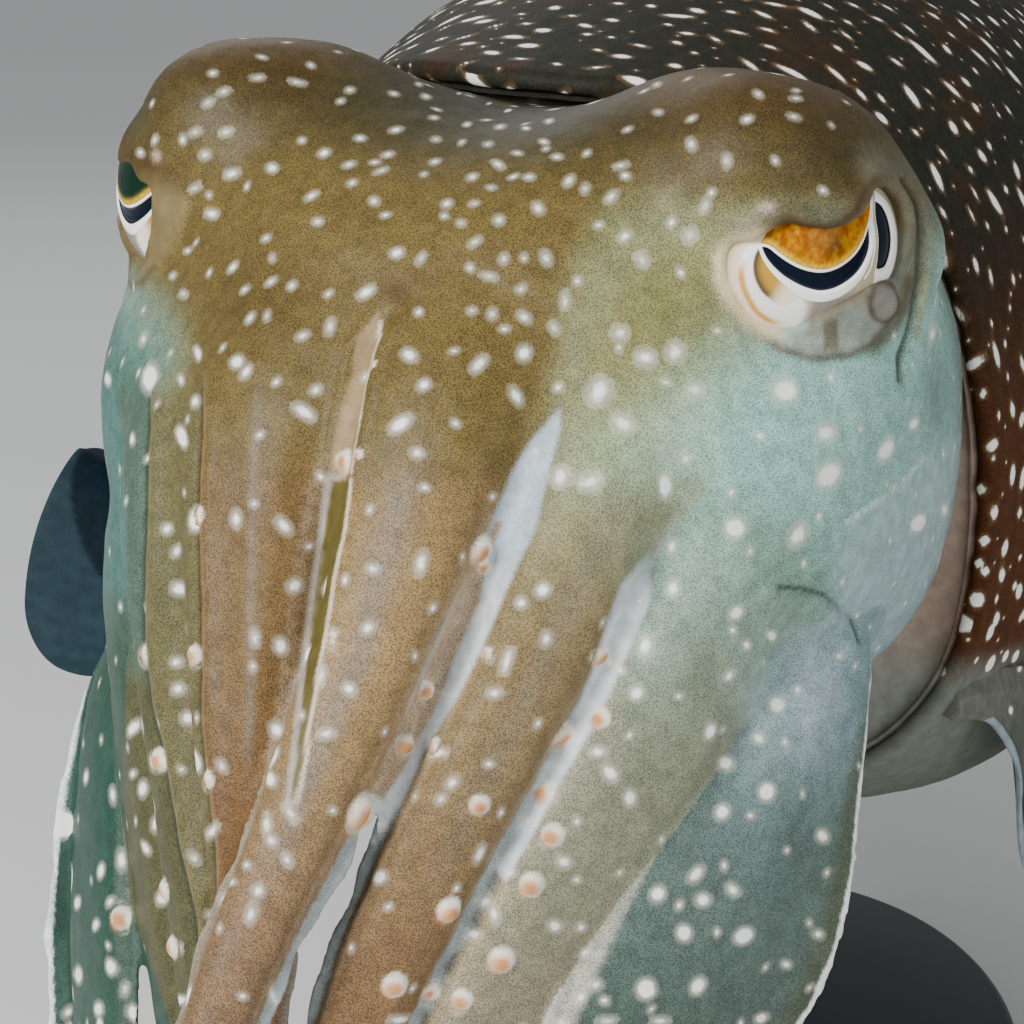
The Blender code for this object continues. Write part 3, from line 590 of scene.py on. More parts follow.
def head_and_arms():
    th = np.linspace(0, 2 * pi, 240, endpoint=False)
    ys = np.concatenate([np.linspace(57.7, -26, 110), np.linspace(-26.6, -36.8, 22)])
    pieces = [outward(new_object("h", *tube(np.array([head_surface(np.full(240, y), th) for y in ys]))))]
    for side in (1, -1):
        flip = np.array([side, 1, 1])
        pieces.append(ellipsoid("bulge", (EYE + [0, EYE_BACK, 0.5]) * flip, np.array([1, 1, EYE_SWELL]) * (EYE_R + EYE_SKIN)))
        for x, y, z, r in LIDS[side]:
            pieces.append(ellipsoid("lid", (EYE + [x, y, z]) * flip, [r, r, r]))
    for key in ARM_KEYS:
        pieces.append(outward(new_object("a", *tube(arm_rings(key)))))
    for one, two in WEBS:
        pieces.append(filler(one, two))
    body = joined("skin_head", pieces)
    tick("head pieces")
    remeshed(body, 0.95)
    P, E = get_points(body.data), get_edges(body.data)
    tick(f"coarse skin {len(P)}")
    # soften where pieces meet: all over the head, and round the arms' roots
    A = arm_places(P)
    four = (A["k"] == 6) | (A["k"] == 7)
    root = 1 - np.where(four, smooth(0.02, 0.12, A["t"]), smooth(0.10, 0.30, A["t"]))
    near_arm = 1 - smooth(1.3, 1.9, A["q"])
    w = 0.5 * (root * near_arm + (1 - near_arm))
    P = relax(P, E, np.maximum(w, 0.012), 70)
    for side in (1, -1):
        P = thicken_lids(P, side)
    P = relax(P, E, np.where(near_arm > 0.5, 0.0, 0.3), 3)
    set_points(body.data, P)
    tick("softened")
    for side in (1, -1):
        c = socket_cutter(side)
        cut(body, c, "DIFFERENCE", "EXACT")
        bpy.data.objects.remove(c)
    tick(f"eye openings {len(body.data.vertices)}")
    more = [body]
    for one, two in WEBS:
        more.append(web(one, two))
    for key in ARM_KEYS:
        if key.endswith("4"):
            more.append(flange(key, -1))
            if key == "right_4":
                more.append(keel(key))
        else:
            more += [flange(key, 1), flange(key, -1)]
    body = joined("skin_head", more)
    remeshed(body, VOXEL)
    P, E = get_points(body.data), get_edges(body.data)
    tick(f"fine skin {len(P)}")
    P = relax(P, E, 0.5, 4)
    set_points(body.data, P)
    return body


def web(one, two):
    t = np.linspace(WEB_FROM, 0.50 if one == "left_1" else 0.44, 34)
    arch = 0.16 if one == "left_1" else 0.30
    (a, na, ha), (b, nb, hb) = pair_edges(one, two, t, 0.62)
    a, b = a - na * (0.18 * ha)[:, None], b - nb * (0.18 * hb)[:, None]
    nm = (na + nb) / np.linalg.norm(na + nb, axis=1, keepdims=True)
    fall = (t - t[0]) / (t[-1] - t[0])
    up, low = [], []
    for q in np.linspace(0, 1, 13):
        # the free edge hangs in a shallow arch
        tt = t[0] + (t - t[0]) * (1 - arch * 4 * q * (1 - q))
        pa = np.stack([np.interp(tt, t, a[:, k]) for k in range(3)], 1)
        pb = np.stack([np.interp(tt, t, b[:, k]) for k in range(3)], 1)
        m = pa * (1 - q) + pb * q - nm * (1.2 * 4 * q * (1 - q))
        k = WEB_THICK / 2 * (1 - 0.25 * fall)[:, None]
        up.append(m + nm * k)
        low.append(m - nm * k)
    return outward(new_object("w", *tube(np.stack(up + low[::-1], axis=1))))


def arm_places(P):
    """For each point, its nearest arm: index, fraction along, sideways and outward place in half sizes, and q, 1 on the surface."""
    n = len(P)
    best = dict(k=np.zeros(n, int), t=np.ones(n), u=np.zeros(n), v=np.zeros(n), q=np.full(n, 9.0))
    ts = np.linspace(0, 1, 70)
    for k, key in enumerate(ARM_KEYS):
        C, T, N, B, w, h, L = arm_frame(key, ts)
        lo, hi = C.min(0) - 26, C.max(0) + 26
        idx = np.nonzero(((P > lo) & (P < hi)).all(1))[0]
        for part in np.array_split(idx, max(1, len(idx) // 60000)):
            Q = P[part]
            d2 = (Q ** 2).sum(1)[:, None] - 2 * Q @ C.T + (C ** 2).sum(1)[None]
            i = d2.argmin(1)
            for _ in range(2):
                d = Q - C[i]
                s = np.clip(np.round((d * T[i]).sum(1) / (L / 69)).astype(int), -2, 2)
                i = np.clip(i + s, 0, 69)
            d = Q - C[i]
            t = np.clip(ts[i] + (d * T[i]).sum(1) / L, 0, 1)
            u, v = (d * B[i]).sum(1) / w[i], (d * N[i]).sum(1) / h[i]
            over = np.maximum(0, np.maximum(-(d * T[i]).sum(1) * (i == 0), (d * T[i]).sum(1) * (i == 69))) / 6
            vv = np.where(v >= 0, v, v / 0.75)
            q = (np.abs(u) ** 2.4 + np.abs(vv) ** 2.4) ** (1 / 2.4) + over
            better = q < best["q"][part]
            b = part[better]
            best["k"][b], best["t"][b], best["u"][b], best["v"][b], best["q"][b] = k, t[better], u[better], v[better], q[better]
    return best


VOXEL = 0.46

skin = head_and_arms()
tick("skin head done")


# ------------------------------------------------------------------ mantle, fins and funnel
def make_mantle():
    nc = 500
    th = np.linspace(0, 2 * pi, nc, endpoint=False)
    rings = []
    floor_y = lip_y(th) + 1.9
    inner = mantle_surface(floor_y, th, WALL + 2.0)
    mid = inner.mean(axis=0)
    for k in (0.3, 0.6, 0.85):
        rings.append(mid + (inner - mid) * k)
    rings.append(inner)
    global MANTLE_INNER
    MANTLE_INNER = 8 * nc
    edge = lip_y(th) + 0.55 * np.sin(7 * th + 1.0) + 0.35 * np.sin(13 * th)
    for q in (0.2, 0.4, 0.6, 0.8):
        rings.append(mantle_surface(floor_y + (edge - floor_y) * q, th, WALL + 1.6 - 1.5 * q))
    # rounded lip
    for a in np.linspace(0, pi, 9):
        inset = WALL * 0.5 * (1 + np.cos(a))
        rings.append(mantle_surface(edge + WALL * 0.5 * (1 - np.sin(a)), th, inset * 0.98))
    nr = 340
    q = np.linspace(0, 1, nr)[1:]
    q = q * 0.75 + 0.25 * q ** 2
    for s in q:
        rings.append(mantle_surface(edge + WALL * 0.5 + (TAIL_Y - edge - WALL * 0.5) * s, th))
    return outward(new_object("skin_mantle", *tube(np.array(rings))))


def fin_root(y, side):
    zw, zb = pchip(y, M_Y, M_W), pchip(y, M_Y, M_B)
    f = pchip(y, [46, 100, 200, 300, 320], [.52, .42, .30, .1, 0])
    n = pchip(y, *M_LOW)
    x = pchip(y, M_Y, M_A) * np.clip(1 - f ** n, 0, 1) ** (1 / n)
    return np.stack([side * x, y, zw + (zb - zw) * f], -1)


def make_fin(side):
    n = 520
    q = np.linspace(0, 1, n)
    y = FIN_FROM + (FIN_TO - FIN_FROM) * (0.45 * q + 0.55 * (3 * q ** 2 - 2 * q ** 3) ** 1.15)
    root, w = fin_root(y, side), pchip(y, *FIN_WIDTH[side])
    a = np.radians(pchip(y, *FIN_DROOP[side]))
    sweep = FIN_SWEEP[side]
    turn = np.radians(pchip(y, [47, 66, 100, 270, 300, 320], [sweep, sweep * .7, 0, 12, 30, 55]))
    out = np.stack([side * np.cos(turn) * np.cos(a), np.sin(turn) * np.cos(a), -np.sin(a)], -1)
    along = np.gradient(root, axis=0)
    nrm = np.cross(along, out)
    nrm /= np.linalg.norm(nrm, axis=1, keepdims=True)
    start = -3.5
    s = np.concatenate([np.linspace(0, 0.16, 9), np.linspace(0.19, 0.95, 34), [0.965, 0.98, 0.992, 1.0]])
    top, low = [], []
    for k in s:
        d = start + (w - start) * k
        p = root + out * d[:, None] - np.array([0, 0, 1]) * (0.10 * w * k * k)[:, None]
        # finer ripples toward the free edge
        rip = 1.1 * k ** 2 * np.sin(y * 2 * pi / 21.0 + side) + 0.5 * k ** 3 * np.sin(y * 2 * pi / 9.5 + 2 * side)
        p = p + nrm * (rip * smooth(6, 20, w))[:, None]
        thick = 0.5 * (FIN_THICK + (FIN_EDGE * 0.85 - FIN_THICK) * k ** 0.8) * np.sqrt(np.clip(1 - max(0, (k - 0.95) / 0.052) ** 2, 0.02, 1))
        thick = thick + 2.6 * np.exp(-np.maximum(d - 0.0, 0) / 1.6) * (d > -9) * 0.6
        top.append(p + nrm * (thick if np.ndim(thick) else np.full(n, thick))[:, None])
        low.append(p - nrm * (thick if np.ndim(thick) else np.full(n, thick))[:, None])
    rings = np.stack(top + low[::-1], axis=1)
    ob = outward(new_object("fin", *tube(rings)))
    return ob


def make_funnel():
    th = np.linspace(0, 2 * pi, 72, endpoint=False)
    Y, Z, R = zip(*FUNNEL)
    y = np.linspace(POCKET_Y - 0.3, -8, 60)
    z, r = pchip(y, Y, Z), pchip(y, Y, R)
    rings = [np.stack([1.25 * b * np.cos(th), np.full(72, a), c + 0.92 * b * np.sin(th)], -1) for a, c, b in zip(y, z, r)]
    y0, z0, r0 = FUNNEL[-1]
    for dy, k in ((-0.9, 0.97), (-1.3, 0.9), (-1.2, 0.8), (-0.4, 0.72), (1.5, 0.66), (4, 0.6), (9, 0.52)):
        rings.append(np.stack([1.25 * r0 * k * np.cos(th), np.full(72, y0 + dy), z0 + 0.92 * r0 * k * np.sin(th)], -1))
    return outward(new_object("funnel_skin", *tube(np.array(rings))))


mantle = make_mantle()
fins = {s: make_fin(s) for s in (1, -1)}
funnel = make_funnel()
tick("mantle, fins, funnel")


# ------------------------------------------------------------------ markings
def lin(r, g, b, gain=1.0):
    """Paint that shows as this screen colour under the studio's light, which is about twice full white."""
    c = np.array([r, g, b], float) / 255
    c = np.where(c <= 0.04045, c / 12.92, ((c + 0.055) / 1.055) ** 2.4)
    lum = max(c @ [0.2126, 0.7152, 0.0722], 1e-4)
    return np.minimum(c * (c / lum) ** 0.3 * (0.8 + 1.2 * max(lum - 0.18, 0)) * (gain / 1.9), 0.92)


def blend(a, b, k):
    k = np.asarray(k)[:, None]
    return np.asarray(a) * (1 - k) + np.asarray(b) * k


def polyline_distance(Q, line):
    """Distance from 2-D points to a polyline."""
    line = np.asarray(line, float)
    out = np.full(len(Q), 1e9)
    for p, q in zip(line[:-1], line[1:]):
        e = q - p
        t = np.clip(((Q - p) @ e) / max(e @ e, 1e-9), 0, 1)
        d = Q - p - t[:, None] * e
        out = np.minimum(out, (d ** 2).sum(1))
    return np.sqrt(out)


def inside(Q, poly):
    poly = np.asarray(poly, float)
    x, y, r = Q[:, 0], Q[:, 1], np.zeros(len(Q), bool)
    for (x0, y0), (x1, y1) in zip(poly, np.roll(poly, -1, axis=0)):
        c = (y0 > y) != (y1 > y)
        r ^= c & (x < (x1 - x0) * (y - y0) / ((y1 - y0) if y1 != y0 else 1e-9) + x0)
    return r


def region(Q, poly):
    """Signed distance to a polygon, positive inside."""
    poly = np.asarray(poly, float)
    d = polyline_distance(Q, np.concatenate([poly, poly[:1]]))
    return np.where(inside(Q, poly), d, -d)


# light spots on head and arms: place in the photograph, half length, half width, slope in degrees
SPOTS = [
    (208, 103, 5, 3, 28), (224, 92, 6, 3, 19), (258, 78, 7, 3, 5), (297, 82, 9, 3, 170), (350, 90, 6, 4, 6),
    (394, 94, 7, 4, 169), (411, 60, 5, 2, 171), (419, 84, 5, 3, 171), (426, 96, 7, 4, 172), (434, 118, 7, 4, 6),
    (459, 93, 8, 4, 4), (489, 103, 12, 5, 18), (508, 110, 8, 3, 17), (544, 100, 5, 3, 177), (571, 104, 8, 3, 10),
    (601, 97, 7, 2, 9), (657, 85, 4, 3, 13), (658, 112, 5, 3, 180), (758, 95, 6, 4, 148), (794, 117, 6, 3, 163),
    (796, 99, 7, 3, 1), (796, 91, 6, 3, 1), (141, 153, 6, 5, 123), (155, 140, 7, 4, 68), (195, 132, 5, 3, 24),
    (205, 155, 6, 5, 12), (226, 132, 7, 4, 18), (232, 174, 11, 6, 16), (272, 168, 9, 8, 167), (324, 153, 9, 6, 19),
    (349, 165, 8, 4, 15), (360, 138, 8, 5, 0), (381, 171, 8, 3, 22), (388, 155, 8, 4, 14), (396, 130, 9, 4, 11),
    (435, 161, 7, 4, 13), (436, 140, 5, 3, 180), (462, 143, 5, 3, 27), (467, 124, 7, 4, 17), (472, 176, 8, 5, 21),
    (488, 144, 5, 3, 8), (498, 164, 10, 5, 149), (500, 126, 7, 4, 10), (517, 153, 6, 3, 174), (526, 128, 6, 3, 175),
    (529, 177, 7, 4, 2), (544, 142, 7, 4, 166), (549, 121, 6, 4, 4), (557, 157, 7, 4, 177), (621, 166, 7, 3, 16),
    (691, 144, 7, 5, 108), (727, 161, 6, 4, 89), (195, 188, 7, 3, 33), (212, 214, 11, 7, 175), (266, 238, 6, 4, 29),
    (312, 196, 10, 5, 35), (318, 222, 7, 5, 6), (352, 183, 6, 4, 20), (374, 201, 7, 6, 176), (447, 204, 8, 6, 29),
    (461, 223, 5, 4, 171), (474, 203, 5, 3, 13), (491, 187, 5, 3, 0), (499, 220, 7, 7, 24), (538, 208, 9, 7, 127),
    (569, 181, 9, 6, 48), (585, 189, 5, 4, 70), (611, 197, 10, 6, 46), (625, 236, 9, 7, 35), (690, 235, 5, 4, 41),
    (705, 206, 9, 5, 73), (173, 276, 5, 4, 46), (183, 294, 5, 4, 163), (188, 251, 6, 4, 26), (232, 267, 10, 5, 48),
    (245, 290, 7, 4, 46), (271, 282, 8, 4, 34), (272, 258, 4, 3, 90), (292, 286, 7, 5, 39), (366, 292, 15, 8, 34),
    (397, 253, 11, 8, 23), (421, 258, 6, 3, 57), (475, 242, 8, 4, 35), (489, 276, 7, 3, 169), (504, 259, 6, 5, 73),
    (521, 289, 5, 4, 31), (546, 258, 9, 6, 110), (642, 260, 5, 3, 132), (143, 339, 5, 3, 78), (198, 354, 9, 4, 104),
    (250, 318, 9, 5, 56), (267, 316, 5, 3, 75), (303, 336, 8, 5, 26), (330, 327, 10, 5, 77), (409, 355, 8, 6, 156),
    (472, 311, 5, 4, 12), (492, 314, 6, 5, 85), (524, 353, 8, 7, 75), (524, 317, 9, 6, 145), (554, 328, 6, 4, 112),
    (565, 301, 10, 5, 88), (620, 333, 7, 6, 17), (645, 358, 7, 5, 172), (675, 352, 7, 5, 67), (933, 334, 10, 5, 76),
    (108, 379, 6, 3, 102), (150, 378, 13, 8, 81), (181, 380, 5, 3, 99), (194, 401, 6, 3, 79), (237, 362, 8, 7, 32),
    (246, 372, 7, 4, 58), (304, 412, 12, 6, 144), (316, 390, 5, 4, 30), (424, 385, 6, 5, 38), (479, 364, 10, 5, 47),
    (516, 396, 9, 5, 118), (599, 392, 11, 7, 69), (695, 390, 5, 4, 16), (785, 391, 12, 10, 169), (132, 439, 7, 3, 91),
    (182, 437, 14, 6, 105), (400, 424, 13, 7, 35), (417, 453, 5, 4, 168), (560, 477, 7, 5, 76), (623, 424, 8, 6, 142),
    (826, 433, 8, 6, 14), (829, 475, 14, 10, 43), (886, 450, 11, 6, 61), (914, 424, 6, 4, 53), (167, 529, 5, 5, 105),
    (193, 519, 15, 8, 84), (236, 519, 8, 5, 91), (284, 526, 9, 5, 133), (590, 482, 8, 4, 16), (665, 486, 15, 8, 93),
    (735, 528, 13, 12, 172), (798, 535, 10, 6, 60), (918, 523, 10, 7, 50), (945, 510, 5, 4, 89), (177, 551, 6, 4, 60),
    (180, 589, 8, 7, 171), (295, 586, 8, 7, 30), (373, 569, 5, 4, 171), (421, 563, 11, 5, 76), (484, 564, 9, 6, 64),
    (543, 590, 8, 7, 40), (672, 547, 7, 5, 74), (673, 588, 8, 6, 82), (142, 656, 14, 7, 90), (191, 657, 12, 7, 87),
    (255, 638, 6, 3, 96), (281, 646, 9, 7, 101), (331, 638, 10, 6, 84), (368, 628, 6, 5, 44), (487, 654, 8, 6, 99),
    (521, 603, 5, 5, 140), (546, 639, 6, 4, 75), (599, 657, 12, 9, 34), (645, 646, 11, 7, 84), (736, 613, 9, 7, 44),
    (746, 645, 5, 5, 34), (772, 636, 7, 6, 131), (839, 656, 3, 3, 163), (176, 662, 5, 4, 5), (178, 689, 6, 5, 26),
    (188, 718, 7, 6, 6), (321, 677, 8, 3, 76), (349, 689, 6, 5, 150), (426, 695, 10, 7, 148), (495, 693, 6, 4, 6),
    (507, 661, 13, 4, 73), (600, 719, 12, 9, 1), (637, 693, 8, 7, 37), (729, 676, 6, 4, 58), (777, 705, 10, 10, 55),
    (86, 777, 8, 3, 84), (133, 728, 11, 6, 50), (133, 774, 4, 3, 72), (156, 762, 12, 9, 98), (222, 766, 5, 3, 115),
    (270, 779, 9, 6, 94), (276, 730, 8, 6, 118), (326, 734, 7, 4, 7), (408, 749, 11, 6, 41), (436, 753, 11, 5, 17),
    (562, 738, 13, 11, 32), (598, 752, 7, 5, 6), (610, 773, 10, 7, 129), (710, 731, 10, 6, 70), (725, 763, 9, 8, 180),
    (758, 738, 7, 5, 139), (113, 795, 8, 3, 95), (143, 789, 9, 5, 84), (156, 824, 8, 4, 83), (206, 781, 11, 6, 73),
    (210, 831, 11, 5, 39), (266, 824, 10, 4, 93), (271, 840, 5, 4, 125), (290, 813, 8, 3, 122), (441, 799, 4, 3, 42),
    (452, 783, 6, 4, 48), (529, 821, 5, 3, 31), (545, 793, 14, 10, 151), (552, 837, 14, 8, 39), (630, 798, 9, 7, 89),
    (722, 812, 9, 8, 50), (767, 792, 11, 10, 83), (820, 835, 7, 6, 87), (101, 871, 9, 4, 82), (122, 860, 10, 5, 90),
    (145, 848, 8, 4, 113), (164, 896, 12, 8, 55), (195, 858, 5, 3, 117), (231, 882, 4, 3, 44), (258, 891, 6, 5, 80),
    (287, 860, 5, 3, 112), (379, 877, 9, 7, 52), (480, 854, 10, 4, 63), (509, 873, 5, 4, 16), (531, 886, 13, 11, 61),
    (564, 862, 7, 5, 160), (658, 894, 9, 8, 45), (696, 874, 10, 6, 48), (733, 890, 7, 5, 140), (77, 903, 8, 4, 80),
    (96, 925, 7, 4, 75), (110, 902, 5, 3, 63), (122, 918, 15, 8, 100), (174, 949, 12, 9, 7), (251, 914, 8, 4, 76),
    (449, 911, 13, 8, 56), (474, 934, 7, 5, 10), (485, 902, 7, 5, 50), (494, 914, 8, 4, 107), (555, 926, 7, 6, 156),
    (581, 927, 4, 4, 72), (684, 933, 10, 9, 96), (703, 900, 8, 7, 6), (744, 936, 13, 10, 31), (809, 931, 4, 4, 94),
    (68, 1012, 5, 3, 57), (78, 975, 12, 5, 90), (98, 1009, 8, 5, 90), (110, 967, 10, 6, 100), (125, 989, 5, 3, 78),
    (134, 1013, 10, 8, 115), (142, 967, 9, 5, 83), (179, 1000, 7, 5, 106), (273, 996, 10, 4, 110),
    (289, 1019, 9, 5, 42), (431, 993, 13, 9, 50), (461, 1002, 14, 11, 64), (581, 997, 5, 4, 51), (596, 985, 5, 4, 17),
    (646, 989, 13, 12, 70), (698, 986, 11, 8, 55), (763, 1019, 8, 6, 23), (782, 963, 4, 4, 110),
    (401, 1020, 11, 4, 9), (561, 1022, 4, 2, 2), (607, 1021, 8, 3, 1), (660, 1021, 7, 3, 0),
]
# pearly knobs along the arms: place in the photograph and radius, all in pixels
KNOBS = [
    (342, 461, 12), (360, 455, 5), (375, 366, 4), (198, 515, 9), (143, 655, 10), (192, 655, 9), (158, 760, 11), (208, 780, 9),
    (165, 890, 11), (174, 947, 11), (480, 550, 15), (484, 566, 8), (425, 690, 9), (405, 745, 10), (435, 745, 8), (357, 812, 21),
    (487, 653, 6), (600, 655, 12), (563, 735, 13), (600, 718, 10), (480, 805, 10), (450, 910, 13), (395, 985, 12), (553, 835, 11),
    (532, 885, 12), (502, 960, 13), (462, 1000, 10), (430, 990, 10), (545, 792, 11), (331, 638, 6), (122, 918, 11), (300, 970, 14)]


class Near:
    """Points sorted into boxes, for quick searches."""

    def __init__(self, P, size=4.0):
        self.P, self.size = P, size
        self.lo = P.min(0) - 1
        c = np.floor((P - self.lo) / size).astype(np.int64)
        self.n = c.max(0) + 2
        key = (c[:, 0] * self.n[1] + c[:, 1]) * self.n[2] + c[:, 2]
        self.order = np.argsort(key, kind="stable")
        self.keys = key[self.order]

    def find(self, c, r):
        lo = np.floor((c - r - self.lo) / self.size).astype(int)
        hi = np.floor((c + r - self.lo) / self.size).astype(int)
        lo, hi = np.maximum(lo, 0), np.minimum(hi, self.n - 1)
        got = []
        for i in range(lo[0], hi[0] + 1):
            for j in range(lo[1], hi[1] + 1):
                k0 = (i * self.n[1] + j) * self.n[2]
                a, b = np.searchsorted(self.keys, [k0 + lo[2], k0 + hi[2] + 1])
                got.append(self.order[a:b])
        idx = np.concatenate(got)
        d = self.P[idx] - c
        return idx[(d * d).sum(1) < r * r]


def spot_field(near, N, field, c, n, e1, e2, soft=1.0):
    """Raise the field to this spot's: millimetres inside its edge."""
    a, b = np.linalg.norm(e1), np.linalg.norm(e2)
    R = max(a, b) + 1.2
    idx = near.find(c, R)
    if not len(idx):
        return
    idx = idx[N[idx] @ n > 0.1]
    d = near.P[idx] - c
    G = np.array([[e1 @ e1, e1 @ e2], [e1 @ e2, e2 @ e2]])
    w = np.stack([d @ e1, d @ e2], 1) @ np.linalg.inv(G)
    s = (1 - np.sqrt((w ** 2).sum(1))) * min(a, b) * soft
    field[idx] = np.maximum(field[idx], s)


def tangent_pair(c, n, px, py, dx, dy):
    """Where the picture's small step lands on the surface's tangent plane."""
    C, v = pixel_ray(px + dx, py + dy)
    t = ((c - C) @ n) / (v @ n)
    return C + v * t - c


def on_skin(tree, px, py):
    C, v = pixel_ray(px, py)
    hit, n, _, _ = tree.ray_cast(Vector(to_model(C)), Vector(v))
    if hit is None:
        return None
    return np.array(hit) / MM + ORIGIN, np.array(n)


def tree_of(ob):
    return BVHTree.FromObject(ob, bpy.context.evaluated_depsgraph_get())


def scattered(P, N, count, spacing, seed, ok=None):
    """Seeded picks of points no nearer than the spacing (a number for each point)."""
    rng = np.random.default_rng(seed)
    idx = rng.choice(len(P), size=min(len(P), count * 14), replace=False)
    if ok is not None:
        idx = idx[ok[idx]]
    kept, cells, s = [], {}, float(np.max(spacing))
    for i in idx:
        p, r = P[i], spacing[i]
        c = tuple((p // s).astype(int))
        clash = False
        for a in (-1, 0, 1):
            for b in (-1, 0, 1):
                for d in (-1, 0, 1):
                    for q in cells.get((c[0] + a, c[1] + b, c[2] + d), ()):
                        if (p - P[q]) @ (p - P[q]) < r * r:
                            clash = True
                            break
        if not clash:
            cells.setdefault(c, []).append(i)
            kept.append(i)
            if len(kept) >= count:
                break
    return np.array(kept)


SEAM_LEFT = [(380, 309), (357, 339), (351, 375), (342.5, 402), (334, 446), (329, 474)]
SEAM_RIGHT = [(352, 474), (357, 443), (360, 411), (365, 384), (367.5, 371), (373, 357), (376, 339), (378, 321)]
STRIP_LEFT = [(331, 480), (325, 528), (317, 580), (309, 640), (302, 700), (296, 760), (291, 800)]
STRIP_RIGHT = [(297, 800), (305, 760), (314, 700), (324, 640), (334, 580), (345, 528), (351, 480)]
MEMBRANE_12 = [(559, 409), (530, 443), (512, 473), (494, 518), (470, 575), (438, 640), (415, 690), (395, 740), (372, 790), (352, 830),
               (375, 845), (400, 800), (425, 750), (455, 700), (480, 650), (505, 590), (535, 529), (548, 473), (560, 429)]
MEMBRANE_23 = [(650, 552), (622, 585), (603, 640), (590, 680), (570, 730), (545, 770), (520, 820), (497, 870), (505, 880), (535, 830),
               (558, 785), (585, 740), (610, 690), (628, 650), (650, 600)]

# the flesh behind each eye swells out to the cheek's outline
SP = get_points(skin.data)
SN = get_normals(skin.data)
for side in (1, -1):
    d = SP * [side, 1, 1] - EYE
    far = np.linalg.norm(d, axis=1)
    i = np.nonzero(far < 30)[0]
    de = d[i] / far[i][:, None]
    az_, el_ = np.degrees(np.arctan2(de[:, 0], -de[:, 1])), np.degrees(np.arcsin(np.clip(de[:, 2], -1, 1)))
    f = 3.9 * np.exp(-((az_ - 121) / 20) ** 2) * smooth(93, 113, az_) * np.exp(-((el_ + 6) / 24) ** 2) * smooth(30, 24, far[i])
    SP[i] += SN[i] * f[:, None]
set_points(skin.data, SP)
tree = tree_of(skin)
SN = get_normals(skin.data)
SE = get_edges(skin.data)
near = Near(SP)
tick("search trees")

px = pixels(SP)
facing = (SN @ Lens.d) < -0.05
A = arm_places(SP)
x, y, z = SP[:, 0], SP[:, 1], SP[:, 2]
ax = np.abs(x)
noise6, noise2 = wobble(SP, 16.0, 1), wobble(SP, 5.0, 2)

# ---- colours of the head
head_top, brow, mid = lin(84, 77, 48), lin(98, 82, 48), lin(134, 118, 72)
face_cool, cheek, cheek_low = lin(180, 196, 164), lin(168, 206, 196), lin(146, 164, 172)
col = np.tile(mid, (len(SP), 1))
col = blend(col, head_top, smooth(-4, 7, z) * smooth(-24, -4, y))
col = blend(col, brow, smooth(5, 16, z) * smooth(14, 26, ax))
cool = smooth(19, 30, ax - np.where(x > 0, 0.0, 6.0) + 1.5 * noise6) * smooth(4, -9, z + 0.10 * y)
cool = cool * (1 - smooth(-20, -30, x) * smooth(-26, -12, z))
col = blend(col, face_cool, cool)
col = blend(col, cheek, cool * smooth(28, 44, ax - 0.25 * (z + 30)))
col = blend(col, cheek_low, cool * smooth(-30, -66, z) * smooth(30, 46, ax))
col = blend(col, lin(156, 149, 98), 0.88 * cool * smooth(-33, -15, z - 0.8 * (ax - 27)) * (x > 0))
# the right side of the face is painted a darker teal than the left cheek: partly its own tone, partly painted shade
right_side_tone_and_shade = smooth(-24, -34, x)
col = blend(col, lin(104, 140, 130), cool * right_side_tone_and_shade)
col = blend(col, lin(120, 128, 118), smooth(16, 40, y) * smooth(2, -12, z))
col = blend(col, lin(150, 152, 138), smooth(-62, -76, z) * smooth(-12, 10, y))
# ---- colours of the arms
STOPS = {1: [(150, 128, 88), (172, 148, 108), (150, 126, 98)], 2: [(162, 168, 130), (158, 140, 104), (152, 126, 94)],
         3: [(140, 170, 154), (160, 164, 142), (168, 160, 138)], 4: [(152, 178, 178), (118, 136, 130), (90, 106, 96)]}
# the right arms get darker copies of the left arms' colours: partly their own tone, partly painted shade
STOPS_RIGHT_TONE_AND_SHADE = {1: [(134, 112, 66), (142, 118, 76), (140, 106, 72)], 2: [(124, 126, 90), (124, 128, 92), (126, 116, 84)],
               3: [(112, 124, 100), (112, 112, 84), (112, 108, 80)], 4: [(88, 116, 106), (70, 92, 84), (60, 78, 70)]}
t, u, v, q = A["t"], A["u"], A["v"], A["q"]
arm_col = np.zeros((len(SP), 3))
for k, key in enumerate(ARM_KEYS):
    m = A["k"] == k
    c0, c1, c2 = (lin(*c) for c in STOPS[int(key[-1])])
    if key.startswith("right"):
        c0, c1, c2 = (lin(*c) for c in STOPS_RIGHT_TONE_AND_SHADE[int(key[-1])])
    tm = t[m]
    arm_col[m] = blend(blend(np.tile(c0, (m.sum(), 1)), c1, smooth(0.08, 0.30, tm)), c2, smooth(0.32, 0.62, tm))
is_arm = smooth(0.03, 0.16, t) * (1 - smooth(1.35, 1.9, q)) * smooth(-24, -34, z)
four = A["k"] >= 6
is_arm = np.where(four, smooth(0.0, 0.07, t) * (1 - smooth(1.25, 1.6, q)), is_arm)
col = blend(col, arm_col, is_arm)
# greyish stripe down the middle of the dorsal arms, and fainter ones on the next
stripe = np.exp(-((u + 0.10 * noise6) / 0.26) ** 2) * (v > 0) * smooth(0.06, 0.16, t) * (1 - smooth(0.42, 0.55, t))
col = blend(col, lin(150, 142, 132), is_arm * stripe * np.where(A["k"] == 0, 0.60, np.where(A["k"] == 1, 0.22, np.where(A["k"] < 4, 0.35, 0.0))))
# oral side: pale and smooth
oral = smooth(0.1, -0.35, v) * is_arm * ~four + smooth(-0.2, -0.6, v) * is_arm * four
col = blend(col, lin(186, 178, 158), 0.8 * oral)
# membranes between the arms, flanges
between = smooth(1.03, 1.12, np.abs(u)) * smooth(0.12, 0.2, t) * (v < 0.75) * np.where((A["k"] < 2) & (u < 0), 0.15, 1.0)
col = blend(col, lin(186, 200, 202), between * is_arm * 0.8)
edge = np.exp(-((np.abs(u) - 1.0) / 0.05) ** 2) * smooth(0.14, 0.25, t) * ~four
col = blend(col, lin(196, 176, 148), 0.5 * edge * is_arm)
